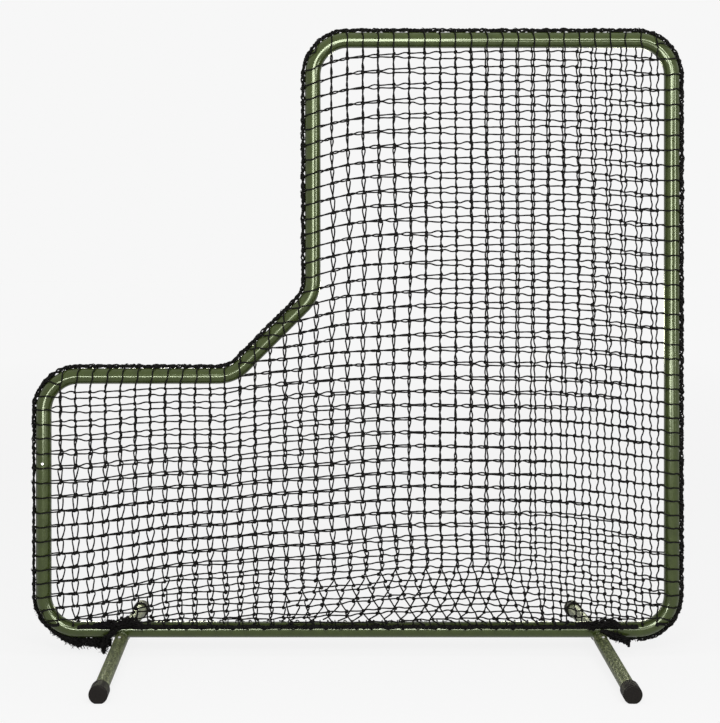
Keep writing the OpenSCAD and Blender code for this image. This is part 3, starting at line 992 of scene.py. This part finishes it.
@dataclass
class Lacing:
    """One cord that ties the two hems together over the rail."""

    outline: Outline
    cord_r: float = 0.0016
    hem_y: float = 0.0255
    hem_up: float = 0.0130
    round_r: float = 0.0078
    top_up: float = 0.0262
    start_x: float = -0.590
    pitch: float = 0.04395
    turns: int = 27
    steps: int = 24
    # angles at which the cord comes to a hem and leaves it, and the share of a crossing
    come: float = 2.3
    leave: float = 0.55
    cross: float = 0.09
    play: float = 0.004

    def build(self) -> bpy.types.Object:
        """A figure of eight round both hems that goes over the top of the rail.

        In the first half of a turn the cord circles the front hem, starting and ending on the
        rail's side of it, and in the second half the rear one: y = side (h + r cos a),
        z = up + r sin a, with a running once round. It moves along the rail as it crosses.
        """
        t = np.arange(self.turns * self.steps + 1) / self.steps
        half = np.mod(t, 1.0) * 2
        side = np.where(half < 1, -1.0, 1.0)
        f = np.mod(half, 1.0)
        a = self.come - (2 * math.pi - self.leave) * f
        over = bell(np.minimum(f, 1 - f), 0.0, self.cross)
        y = side * (self.hem_y + self.round_r * np.cos(a)) * (1 - over)
        z = self.hem_up + self.round_r * np.sin(a)
        z = z + (self.top_up - z) * over
        x = self.start_x + self.pitch * (t - 0.055 * np.sin(4 * math.pi * t))
        x = x + self.play * waver(t / 2.6, 4.0)
        path = np.stack([x, y, self.outline.rail_z + z], -1)
        parts = MeshParts()
        parts.add(*sweep(path, np.full(len(path), self.cord_r), np.array([1.0, 0.0, 0.0]), 7))
        piece = parts.build("net_lacing_cord")
        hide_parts("net_lacing")
        return piece


# ---------------------------------------------------------------- steel details


@dataclass
class WeldBead:
    """Weld where a cross tube meets the underside of the rail, on both sides of it."""

    name: str
    leg_x: float
    outline: Outline
    hub_z: float = 0.050225
    cross_r: float = 0.0171
    bead_r: float = 0.0021
    proud: float = 0.0004
    end_angle: float = 0.10
    steps: int = 60

    def build(self) -> bpy.types.Object:
        """The bead follows y = sqrt(R^2 - (z - rail)^2) round the cross tube, with ripples.

        The cross tube's skin is x = x0 + r cos a, z = hub + r sin a; the bead's radius is
        b (1 + 0.18 sin of the length along it).
        """
        parts = MeshParts()
        a = np.linspace(self.end_angle, math.pi - self.end_angle, self.steps)
        z = self.hub_z + self.cross_r * np.sin(a)
        reach = self.outline.tube_r + self.proud
        y = np.sqrt(np.maximum(reach ** 2 - (z - self.outline.rail_z) ** 2, 1e-8))
        ripple = self.bead_r * (1 + 0.18 * np.sin(np.arange(self.steps) * 1.9))
        for side in (-1.0, 1.0):
            path = np.stack([self.leg_x + self.cross_r * np.cos(a), side * y, z], -1)
            parts.add(*sweep(path, ripple, np.array([0.0, side, 0.35]), 8))
        return parts.build(self.name, GREEN_SLOT)


# ---------------------------------------------------------------- finishes


def fill(tree: bpy.types.NodeTree, node: bpy.types.Node, inputs: dict[int | str, object]) -> None:
    """Feeds a node's inputs, by number or name: a socket is linked, a plain value is set."""
    for key, value in inputs.items():
        if isinstance(value, bpy.types.NodeSocket):
            tree.links.new(value, node.inputs[key])
        else:
            node.inputs[key].default_value = value


def put(tree: bpy.types.NodeTree, kind: str, *fed: object, **named: object) -> bpy.types.Node:
    """Adds a node.

    Args:
        tree: where it goes.
        kind: its type.
        fed: what its first inputs get, in their order.
        named: what the inputs of these names get, with a double underscore for a space. A
            name that begins with a small letter is a property of the node.
    Returns:
        The node.
    """
    made = tree.nodes.new(kind)
    inputs: dict[int | str, object] = dict(enumerate(fed))
    for key, value in named.items():
        if key[0].isupper():
            inputs[key.replace("__", " ")] = value
        else:
            setattr(made, key, value)
    fill(tree, made, inputs)
    return made


def reckon(tree: bpy.types.NodeTree, operation: str, *fed: object,
           clamp: bool = False) -> bpy.types.NodeSocket:
    """Adds a Math node with these inputs and gives its result."""
    return put(tree, "ShaderNodeMath", *fed, operation=operation, use_clamp=clamp).outputs[0]


def span(tree: bpy.types.NodeTree, value: bpy.types.NodeSocket,
         **ends: float) -> bpy.types.NodeSocket:
    """Adds a Map Range node with these ends and gives its result."""
    return put(tree, "ShaderNodeMapRange", Value=value, **ends).outputs["Result"]


def noise(tree: bpy.types.NodeTree, where: bpy.types.NodeSocket,
          **values: object) -> bpy.types.NodeSocket:
    """Adds a Noise Texture at these coordinates and gives its strength."""
    return put(tree, "ShaderNodeTexNoise", Vector=where, **values).outputs["Fac"]


def blend(tree: bpy.types.NodeTree, amount: bpy.types.NodeSocket, first: bpy.types.NodeSocket,
          second: bpy.types.NodeSocket) -> bpy.types.NodeSocket:
    """Mixes two colours and gives the result."""
    return put(tree, "ShaderNodeMix", data_type="RGBA", Factor=amount, A=first,
               B=second).outputs["Result"]


def new_group(name: str, inputs: dict[str, object], outputs: Sequence[str]
              ) -> tuple[bpy.types.NodeTree, bpy.types.Node, bpy.types.Node]:
    """A shader node group with named sockets.

    Args:
        name: name of the group.
        inputs: default of each input; four numbers make a colour.
        outputs: name of each output; the one called Colour is a colour.
    Returns:
        The group, its input node and its output node.
    """
    group = bpy.data.node_groups.new(name, "ShaderNodeTree")
    kinds = {True: "NodeSocketColor", False: "NodeSocketFloat"}
    for label, value in inputs.items():
        kind = kinds[isinstance(value, tuple)]
        socket = group.interface.new_socket(label, in_out="INPUT", socket_type=kind)
        socket.default_value = value
    for label in outputs:
        group.interface.new_socket(label, in_out="OUTPUT", socket_type=kinds[label == "Colour"])
    return group, group.nodes.new("NodeGroupInput"), group.nodes.new("NodeGroupOutput")


def mottle_group() -> bpy.types.NodeTree:
    """Effect shared by coat, rubber and metal: colour mottle, fine grain and a roughness."""
    group, start, result = new_group(
        "mottle",
        {"Colour": (0.1, 0.1, 0.1, 1), "Worn Colour": (0.2, 0.2, 0.2, 1), "Patch Scale": 30.0,
         "Grain Scale": 400.0, "Spread": 0.15, "Worn": 0.1, "Speckle": 0.0, "Roughness": 0.3,
         "Roughness Spread": 0.1}, ("Colour", "Roughness", "Height"))
    given = start.outputs
    where = put(group, "ShaderNodeTexCoord").outputs["Object"]
    patch = noise(group, where, Scale=given["Patch Scale"], Detail=4.0, Roughness=0.6)
    grain = noise(group, where, Scale=given["Grain Scale"], Detail=2.0)
    wear = noise(group, where, Scale=11.0, Detail=8.0, Roughness=0.75)
    centred = reckon(group, "SUBTRACT", patch, 0.5)
    swing = reckon(group, "MULTIPLY_ADD", centred, given["Spread"], 1.0)
    shade = put(group, "ShaderNodeVectorMath", given["Colour"], operation="SCALE", Scale=swing)
    bare = span(group, wear, From__Min=0.60, From__Max=0.78)
    amount = reckon(group, "MULTIPLY", bare, given["Worn"])
    # pale flecks of the mixed-in colour: painted highlights, set only in the legs' coat
    sheen_fleck = span(group, patch, From__Min=0.45, From__Max=0.60)
    most = reckon(group, "MULTIPLY_ADD", sheen_fleck, given["Speckle"], amount, clamp=True)
    rough = reckon(group, "MULTIPLY_ADD", centred, given["Roughness Spread"], given["Roughness"])
    fill(group, result, {
        "Colour": blend(group, most, shade.outputs[0], given["Worn Colour"]),
        "Roughness": rough, "Height": grain})
    return group


def twist_group() -> bpy.types.NodeTree:
    """Effect shared by the cords: slanted strands of a laid twine, with fuzz."""
    group, start, result = new_group(
        "twine_twist",
        {"Colour": (0.01, 0.01, 0.01, 1), "Dust": (0.05, 0.05, 0.045, 1), "Strands": 3.0,
         "Turns": 110.0, "Dust Amount": 0.3}, ("Colour", "Height", "Roughness"))
    given = start.outputs
    lay = put(group, "ShaderNodeUVMap", uv_map="lay").outputs["UV"]
    split = put(group, "ShaderNodeSeparateXYZ", lay).outputs
    around = reckon(group, "MULTIPLY", split["X"], given["Strands"])
    slanted = reckon(group, "MULTIPLY_ADD", split["Y"], given["Turns"], around)
    ridge = reckon(group, "SINE", reckon(group, "MULTIPLY", slanted, 2 * math.pi))
    where = put(group, "ShaderNodeTexCoord").outputs["Object"]
    fuzz = noise(group, where, Scale=900.0, Detail=3.0)
    fade = noise(group, where, Scale=9.0, Detail=5.0, Roughness=0.7)
    height = reckon(group, "MULTIPLY_ADD", ridge, 0.5, fuzz)
    both = reckon(group, "MULTIPLY", span(group, fade, From__Min=0.4, From__Max=0.8),
                  span(group, height, From__Min=-0.2, From__Max=1.3))
    amount = reckon(group, "MULTIPLY", both, given["Dust Amount"])
    fill(group, result, {
        "Colour": blend(group, amount, given["Colour"], given["Dust"]),
        "Height": height, "Roughness": span(group, fuzz, To__Min=0.62, To__Max=0.85)})
    return group


class Effect(Enum):
    """The shared shader groups, each built once."""

    MOTTLE = "mottle"
    TWIST = "twine_twist"

    def tree(self) -> bpy.types.NodeTree:
        """The group, made the first time it is asked for."""
        made = bpy.data.node_groups.get(self.value)
        if made is None:
            made = mottle_group() if self is Effect.MOTTLE else twist_group()
        return made


@dataclass(frozen=True)
class Finish:
    """A surface finish: its plain shader values, a shared effect and the effect's values."""

    name: str
    effect: Effect
    effect_values: dict[str, object]
    metallic: float = 0.0
    specular: float = 0.5
    tint: tuple[float, float, float, float] = WHITE
    bump: float = 0.3
    bump_depth: float = 0.0002

    def material(self) -> bpy.types.Material:
        """Builds the material: the effect feeds colour, roughness and bump."""
        made = bpy.data.materials.new(self.name)
        made.use_nodes = True
        tree = made.node_tree
        effect = put(tree, "ShaderNodeGroup", node_tree=self.effect.tree())
        fill(tree, effect, self.effect_values)
        bump = put(tree, "ShaderNodeBump", Strength=self.bump, Distance=self.bump_depth,
                   Height=effect.outputs["Height"])
        fill(tree, tree.nodes["Principled BSDF"], {
            "Metallic": self.metallic, "Specular IOR Level": self.specular,
            "Specular Tint": self.tint, "Base Color": effect.outputs["Colour"],
            "Roughness": effect.outputs["Roughness"], "Normal": bump.outputs["Normal"]})
        return made


COAT = Finish("frame_green_coat", Effect.MOTTLE, {
    "Colour": (0.044, 0.061, 0.014, 1), "Worn Colour": (0.09, 0.108, 0.040, 1),
    "Patch Scale": 42.0, "Grain Scale": 520.0, "Spread": 0.9, "Worn": 0.2,
    "Roughness": 0.17, "Roughness Spread": 0.06}, specular=0.5,
    tint=(0.90, 1.0, 0.72, 1), bump=0.06)
# The legs' coat: a darker green with a strong colour spread and dense pale flecks, which are
# painted highlights; its worn patches are real wear.
LEG_COAT = Finish("leg_green_coat", Effect.MOTTLE, {
    "Colour": (0.025, 0.034, 0.009, 1), "Worn Colour": (0.25, 0.275, 0.135, 1),
    "Patch Scale": 180.0, "Grain Scale": 520.0, "Spread": 1.0, "Worn": 0.2, "Speckle": 0.9,
    "Roughness": 0.45, "Roughness Spread": 0.2}, specular=0.12, bump=0.12)
RUBBER = Finish("cap_rubber_black", Effect.MOTTLE, {
    "Colour": (0.0085, 0.0068, 0.0055, 1), "Worn Colour": (0.035, 0.030, 0.026, 1),
    "Patch Scale": 60.0, "Grain Scale": 900.0, "Spread": 0.5, "Worn": 0.3,
    "Roughness": 0.6, "Roughness Spread": 0.2}, specular=0.1, bump=0.4)
ZINC = Finish("button_zinc_plate", Effect.MOTTLE, {
    "Colour": (0.62, 0.62, 0.60, 1), "Worn Colour": (0.40, 0.39, 0.37, 1),
    "Patch Scale": 260.0, "Grain Scale": 1500.0, "Spread": 0.25, "Worn": 0.5,
    "Roughness": 0.26, "Roughness Spread": 0.15}, metallic=1.0, bump=0.1)
SPRING = Finish("spring_steel_leaf", Effect.MOTTLE, {
    "Colour": (0.42, 0.42, 0.43, 1), "Worn Colour": (0.26, 0.25, 0.24, 1),
    "Patch Scale": 120.0, "Grain Scale": 1500.0, "Spread": 0.3, "Worn": 0.4,
    "Roughness": 0.32, "Roughness Spread": 0.15}, metallic=1.0, bump=0.1)
TWINE = Finish("net_twine_black", Effect.TWIST, {
    "Colour": (0.0040, 0.0036, 0.0032, 1), "Dust": (0.022, 0.020, 0.018, 1),
    "Strands": 3.0, "Turns": 120.0, "Dust Amount": 0.15}, specular=0.08, bump=0.6,
    bump_depth=0.0004)
ROPE = Finish("net_rope_black", Effect.TWIST, {
    "Colour": (0.0030, 0.0027, 0.0024, 1), "Dust": (0.024, 0.022, 0.019, 1),
    "Strands": 3.0, "Turns": 90.0, "Dust Amount": 0.2}, specular=0.08, bump=0.8,
    bump_depth=0.0005)


# ---------------------------------------------------------------- stage


class Task(Enum):
    """What a lamp is for: even light on the surfaces, or their bright reflections."""

    FILL = "fill"
    GLINT = "glint"


@dataclass(frozen=True)
class Lamp:
    """A soft rectangular lamp of a given brightness."""

    name: str
    task: Task
    place: tuple[float, float, float]
    aim: tuple[float, float, float]
    size: tuple[float, float]
    radiance: float
    colour: tuple[float, float, float] = (1.0, 1.0, 1.0)

    def build(self) -> None:
        """Makes the lamp and turns it to its aim; its power is pi times area times radiance."""
        data = bpy.data.lights.new(self.name, "AREA")
        data.shape, data.size, data.size_y = "RECTANGLE", self.size[0], self.size[1]
        data.energy = math.pi * self.size[0] * self.size[1] * self.radiance
        data.color = self.colour
        lamp = bpy.data.objects.new(self.name, data)
        lamp.location = self.place
        way = Vector(self.aim) - Vector(self.place)
        lamp.rotation_euler = way.to_track_quat("-Z", "Y").to_euler()
        lamp.visible_camera = False
        lamp.visible_glossy = self.task is Task.GLINT
        lamp.visible_diffuse = self.task is Task.FILL
        bpy.context.scene.collection.objects.link(lamp)


LEG_GLINT = (0.97, 1.0, 0.68)


@dataclass
class Studio:
    """Floor, backdrop light, lamps and the camera."""

    eye: tuple[float, float, float] = (-0.1017, -4.857, 1.1418)
    lens: float = 85.05
    sensor: float = 36.0
    shift: tuple[float, float] = (0.0526, -0.1501)
    backdrop: float = 0.93
    ambient: float = 0.35
    # the floor's half width and far edge, its height and its grey for the light
    floor_half: float = 30.0
    floor_far: float = 60.0
    floor_z: float = -0.0005
    floor_grey: float = 0.55
    # what looks at the floor sees this grey and glow, at these near and far distances
    shown_grey: float = 0.12
    shown_glow: tuple[float, float] = (0.838, 0.888)
    shown_reach: tuple[float, float] = (1.0, 14.0)
    lamps: tuple[Lamp, ...] = (
        Lamp("key_wall", Task.FILL, (0.3, -4.8, 3.0), (0.1, 0, 0.9), (3.5, 2.0), 8.0),
        Lamp("top_bank", Task.FILL, (0.0, -0.8, 4.4), (0.0, 0.0, 0.8), (3.5, 1.2), 2.4),
        Lamp("glint_front", Task.GLINT, (0.25, -2.8, 1.23), (0.25, 0, 1.23), (0.5, 1.27), 25.0),
        Lamp("glint_side", Task.GLINT, (-0.25, -2.8, 1.23), (-0.25, 0, 1.23), (0.5, 1.27), 9.0),
        Lamp("glint_right", Task.GLINT, (3.3, -2.8, 1.35), (0.9, 0, 1.35), (0.8, 1.3), 19.0),
        Lamp("glint_top", Task.GLINT, (0.6, -2.82, 2.06), (0.6, 0, 2.06), (2.2, 0.26), 33.0),
        Lamp("glint_low", Task.GLINT, (-1.0, -2.82, 0.53), (-1.0, 0, 0.53), (1.1, 0.26), 36.0),
        Lamp("glint_foot", Task.GLINT, (1.0, -2.82, 0.53), (1.0, 0, 0.53), (1.1, 0.26), 12.0),
        Lamp("glint_back_left", Task.GLINT, (-1.06, 4.0, 0.78), (-0.67, 0.3, 0.05), (0.8, 0.36),
             30.0, LEG_GLINT),
        Lamp("glint_back_right", Task.GLINT, (1.22, 4.0, 0.78), (0.69, 0.3, 0.05), (0.8, 0.36),
             22.0, LEG_GLINT),
    )

    def build(self) -> None:
        """Makes the stage."""
        self._camera()
        self._world()
        self._floor()
        for lamp in self.lamps:
            lamp.build()
        bpy.context.scene.view_settings.view_transform = "Standard"

    def _camera(self) -> None:
        """A level camera that looks straight along +Y, shifted to frame the screen."""
        data = bpy.data.cameras.new("view")
        data.lens, data.sensor_width = self.lens, self.sensor
        data.shift_x, data.shift_y = self.shift
        camera = bpy.data.objects.new("view", data)
        camera.location = self.eye
        camera.rotation_euler = (math.pi / 2, 0, 0)
        bpy.context.scene.collection.objects.link(camera)
        bpy.context.scene.camera = camera

    @staticmethod
    def _finish(tree: bpy.types.NodeTree, lit: bpy.types.Node, shown: bpy.types.Node,
                output: str) -> None:
        """Gives the output one shader for the light, and another for what looks at it.

        Args:
            tree: the world's or the material's nodes.
            lit: shader for rays that carry light.
            shown: shader for rays from the camera, from a reflection and through glass.
            output: name of the output node.
        """
        path = put(tree, "ShaderNodeLightPath").outputs
        seen = reckon(tree, "MAXIMUM", path["Is Camera Ray"], path["Is Glossy Ray"])
        seen = reckon(tree, "MAXIMUM", seen, path["Is Transmission Ray"])
        mix = put(tree, "ShaderNodeMixShader", seen, lit.outputs[0], shown.outputs[0])
        fill(tree, tree.nodes[output], {"Surface": mix.outputs[0]})

    def _world(self) -> None:
        """A pale world: an even light, and the backdrop's own level for what looks at it."""
        world = bpy.data.worlds.new("studio")
        world.use_nodes = True
        tree = world.node_tree
        lit = tree.nodes["Background"]
        fill(tree, lit, {"Color": WHITE, "Strength": self.ambient})
        shown = put(tree, "ShaderNodeBackground", Color=WHITE, Strength=self.backdrop)
        self._finish(tree, lit, shown, "World Output")
        bpy.context.scene.world = world

    def _floor(self) -> None:
        """A wide pale floor that keeps a soft shadow and shines only for what looks at it.

        Its own light rises a little with the distance, as the lamps' light on it fades, so it
        meets the backdrop without a line.
        """
        half, back, z = self.floor_half, self.floor_far, self.floor_z
        mesh = bpy.data.meshes.new("floor")
        mesh.from_pydata([(-half, -half, z), (half, -half, z), (half, back, z), (-half, back, z)],
                         [], [(0, 1, 2, 3)])
        floor = bpy.data.objects.new("floor", mesh)
        bpy.context.scene.collection.objects.link(floor)
        made = bpy.data.materials.new("floor_pale")
        made.use_nodes = True
        tree = made.node_tree
        place = put(tree, "ShaderNodeNewGeometry").outputs["Position"]
        away = put(tree, "ShaderNodeVectorMath", place, operation="LENGTH").outputs["Value"]
        (near, far), (dim, bright) = self.shown_reach, self.shown_glow
        glow = span(tree, away, From__Min=near, From__Max=far, To__Min=dim, To__Max=bright)
        lit = tree.nodes["Principled BSDF"]
        shown = put(tree, "ShaderNodeBsdfPrincipled", Emission__Color=WHITE,
                    Emission__Strength=glow)
        for shader, grey in ((lit, self.floor_grey), (shown, self.shown_grey)):
            fill(tree, shader, {"Base Color": (grey, grey, grey, 1), "Roughness": 1.0,
                                "Specular IOR Level": 0.0})
        self._finish(tree, lit, shown, "Material Output")
        mesh.materials.append(made)


# ---------------------------------------------------------------- the whole


@dataclass(frozen=True)
class Bunch:
    """Net gathered under one lower bend of the frame, and the part that hangs over its front.

    The bunch follows the bend and then the rail up to end_x, where it has fallen by tail. Its
    girth goes by the share of its length. The hanging part is fat thick and follows fall:
    how far beyond the bend's end, Y and Z.
    """

    name: str
    side: int
    end_x: float
    tail: float
    twines: int
    girth: Table
    fat: float
    fall: Sequence[tuple[float, float, float]]


def spindle(end: float, fat: float) -> Table:
    """The girth of a bundle that is thick in the middle and thin at both ends."""
    return (0.0, end), (0.3, fat), (0.7, fat), (1.0, end)


@dataclass
class Screen:
    """The whole screen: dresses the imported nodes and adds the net, its ropes and the welds."""

    outline: Outline = field(default_factory=Outline)
    legs: tuple[tuple[str, float], ...] = (("left", -0.669), ("right", 0.686))
    seam_out: float = 0.0278
    seam_girth: Table = ((0.0, 0.9), (0.03, 0.55), (0.11, 0.55), (0.14, 1.2), (0.20, 1.0),
                         (0.64, 1.0), (0.69, 1.25), (1.0, 1.15))
    bunches: tuple[Bunch, ...] = (
        Bunch("net_bunch_left", -1, 0.700, 0.004, 46,
              ((0, 0.0012), (0.3, 0.0024), (0.42, 0.0055), (0.55, 0.0105), (0.66, 0.0155),
               (0.76, 0.0118), (0.9, 0.0170), (1, 0.0110)),
              0.0080, ((0.111, -0.036, 0.078), (0.083, -0.034, 0.053),
                       (0.074, -0.025, 0.026), (0.072, -0.016, 0.006))),
        Bunch("net_bunch_right", 1, 0.722, 0.002, 24,
              ((0, 0.0010), (0.55, 0.0012), (0.7, 0.0030), (0.84, 0.0085), (0.94, 0.0075),
               (1, 0.0040)),
              0.0095, ((0.104, -0.036, 0.075), (0.061, -0.035, 0.058),
                       (0.030, -0.027, 0.043), (0.026, -0.020, 0.027))),
    )
    # how far outside the tube axis a bunch's inner side lies
    bunch_out: float = 0.0212
    # half length and thickness of the net gathered over each leg crossing
    bundles: tuple[tuple[float, float], ...] = ((0.075, 0.0150), (0.066, 0.0125))
    pieces: list[bpy.types.Object] = field(default_factory=list)

    def net(self) -> None:
        """Both layers of net, with the ties that hold them to the seam."""
        twine = TWINE.material()
        ends: list[Array] = []
        for side in Side:
            layer = NetLayer(side, self.outline)
            made = layer.build()
            ends += layer.seam_ends
            for piece in made:
                piece.data.materials.append(twine)
            self.pieces += made
        ties = SeamTies(np.array(ends), self.outline).build()
        ties.data.materials.append(twine)
        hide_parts("net_seam")
        self.pieces.append(ties)

    def ropes(self) -> None:
        """Seam rope, hems, gathered net at the corners and over the legs, and the lacing."""
        rope = ROPE.material()
        seam = Rope("net_seam_rope", self.outline.rim(self.seam_out), twines=5, twine_r=0.0023,
                    lay_r=0.0037, thickness=self.seam_girth)
        made = [seam.build("net_seam")]
        for side, twines, down in ((Side.FRONT, 7, 0.0015), (Side.REAR, 6, 0.0026)):
            lo, hi = (np.array(v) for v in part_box(f"net_hem_{side.word}"))
            middle = (lo + hi) / 2
            middle[2] -= down
            line = np.array([[lo[0], *middle[1:]], [hi[0], *middle[1:]]])
            hem = Rope(f"net_hem_{side.word}_rope", line, twines=twines, lay_r=0.0036,
                       twine_r=0.0022, seed=3.0 + side.value)
            made.append(hem.build(f"net_hem_{side.word}"))
        made.append(Lacing(self.outline).build())
        made += self.gathers()
        for piece in made:
            piece.data.materials.append(rope)
        self.pieces += made

    def gathers(self) -> list[bpy.types.Object]:
        """Surplus net under the two lower bends and over the two leg crossings."""
        made = []
        z, r = self.outline.rail_z, self.outline.bend_r
        bend = self.outline.side_x - r
        for bunch in self.bunches:
            side = bunch.side
            a = np.linspace(0.1, math.pi / 2, 30)
            d = r + self.bunch_out + 0.8 * graded(bunch.girth, np.linspace(0, 0.66, 30))
            arc = np.stack([side * (bend + d * np.cos(a)), 0 * a, z + r - d * np.sin(a)], -1)
            last = arc[-1] + np.array([side * (bunch.end_x - bend), 0, -bunch.tail])
            path = np.concatenate([arc, last[None]])
            net = Gather(bunch.name + "_net", path, bunch.girth, twines=bunch.twines,
                         knots=4 * bunch.twines, whiskers=6 * bunch.twines, whisker_l=0.014,
                         seed=2.0 + side)
            fall = np.array([(side * (bend - back), y, high) for back, y, high in bunch.fall])
            drape = Gather(bunch.name + "_drape", fall, spindle(0.003, bunch.fat), twines=22,
                           knots=70, whiskers=70, whisker_l=0.012, seed=9.0 + side)
            made += [net.build(bunch.name), drape.build(bunch.name)]
        t = np.linspace(-1, 1, 15)
        for (name, leg), (half, fat) in zip(self.legs, self.bundles):
            path = np.stack([leg + half * t, -0.0285 - 0.006 * (1 - t ** 2),
                             0.0950 - 0.010 * t ** 2 + 0.004 * np.sin(5 * t)], -1)
            bundle = Gather(f"net_bundle_{name}", path, spindle(0.004, fat), flatten=0.6,
                            twines=24, knots=90, whiskers=40, whisker_l=0.010, seed=6.0 + leg)
            made.append(bundle.build("net_hem_front"))
        return made

    def welds(self) -> None:
        """Weld beads at both cross tubes, in the frame's own coat."""
        coat = bpy.data.materials[COAT.name]
        for name, leg in self.legs:
            bead = WeldBead(f"weld_{name}", leg, self.outline).build()
            bead.data.materials.append(coat)
            self.pieces.append(bead)

    def springs(self) -> None:
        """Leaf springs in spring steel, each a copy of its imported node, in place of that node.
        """
        steel = bpy.data.materials[SPRING.name]
        for joint in frame["record"]["behaviour"]["joints"]:
            way = np.array(joint["axis"], float)
            for row in joint.get("deforming_nodes", []):
                mesh = frame["nodes"][row["node"]].data.copy()
                points = np.array([v.co for v in mesh.vertices])
                along = points @ way
                mesh.materials.clear()
                mesh.materials.append(steel)
                piece = bpy.data.objects.new(row["node"] + "_leaf", mesh)
                bpy.context.scene.collection.objects.link(piece)
                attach(piece, SCREEN)
                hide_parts(row["node"])
                tuple(points[along.argmax()].tolist())
                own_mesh(piece)
                self.pieces.append(piece)

    def dress(self) -> None:
        """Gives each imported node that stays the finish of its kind."""
        finishes = {"button": ZINC.material(), "spring": SPRING.material(),
                    "cap_": RUBBER.material(), "tube": COAT.material(),
                    "leg_": LEG_COAT.material()}
        for name, piece in frame["nodes"].items():
            kind = next((k for k in finishes if k in name), None)
            if kind is not None:
                for slot in piece.material_slots:
                    slot.material = finishes[kind]

    def build(self) -> None:
        """Builds everything in order and reports each new piece."""
        self.dress()
        self.net()
        self.ropes()
        self.welds()
        self.springs()
        for piece in self.pieces:
            log.info("%s: %d triangles", piece.name, len(piece.data.polygons))


def main() -> None:
    """Builds the stage and the screen."""
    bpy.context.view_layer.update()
    Studio().build()
    Screen().build()


if __name__ == "__main__":
    logging.basicConfig(level=logging.INFO, format="%(name)s: %(message)s")
    main()
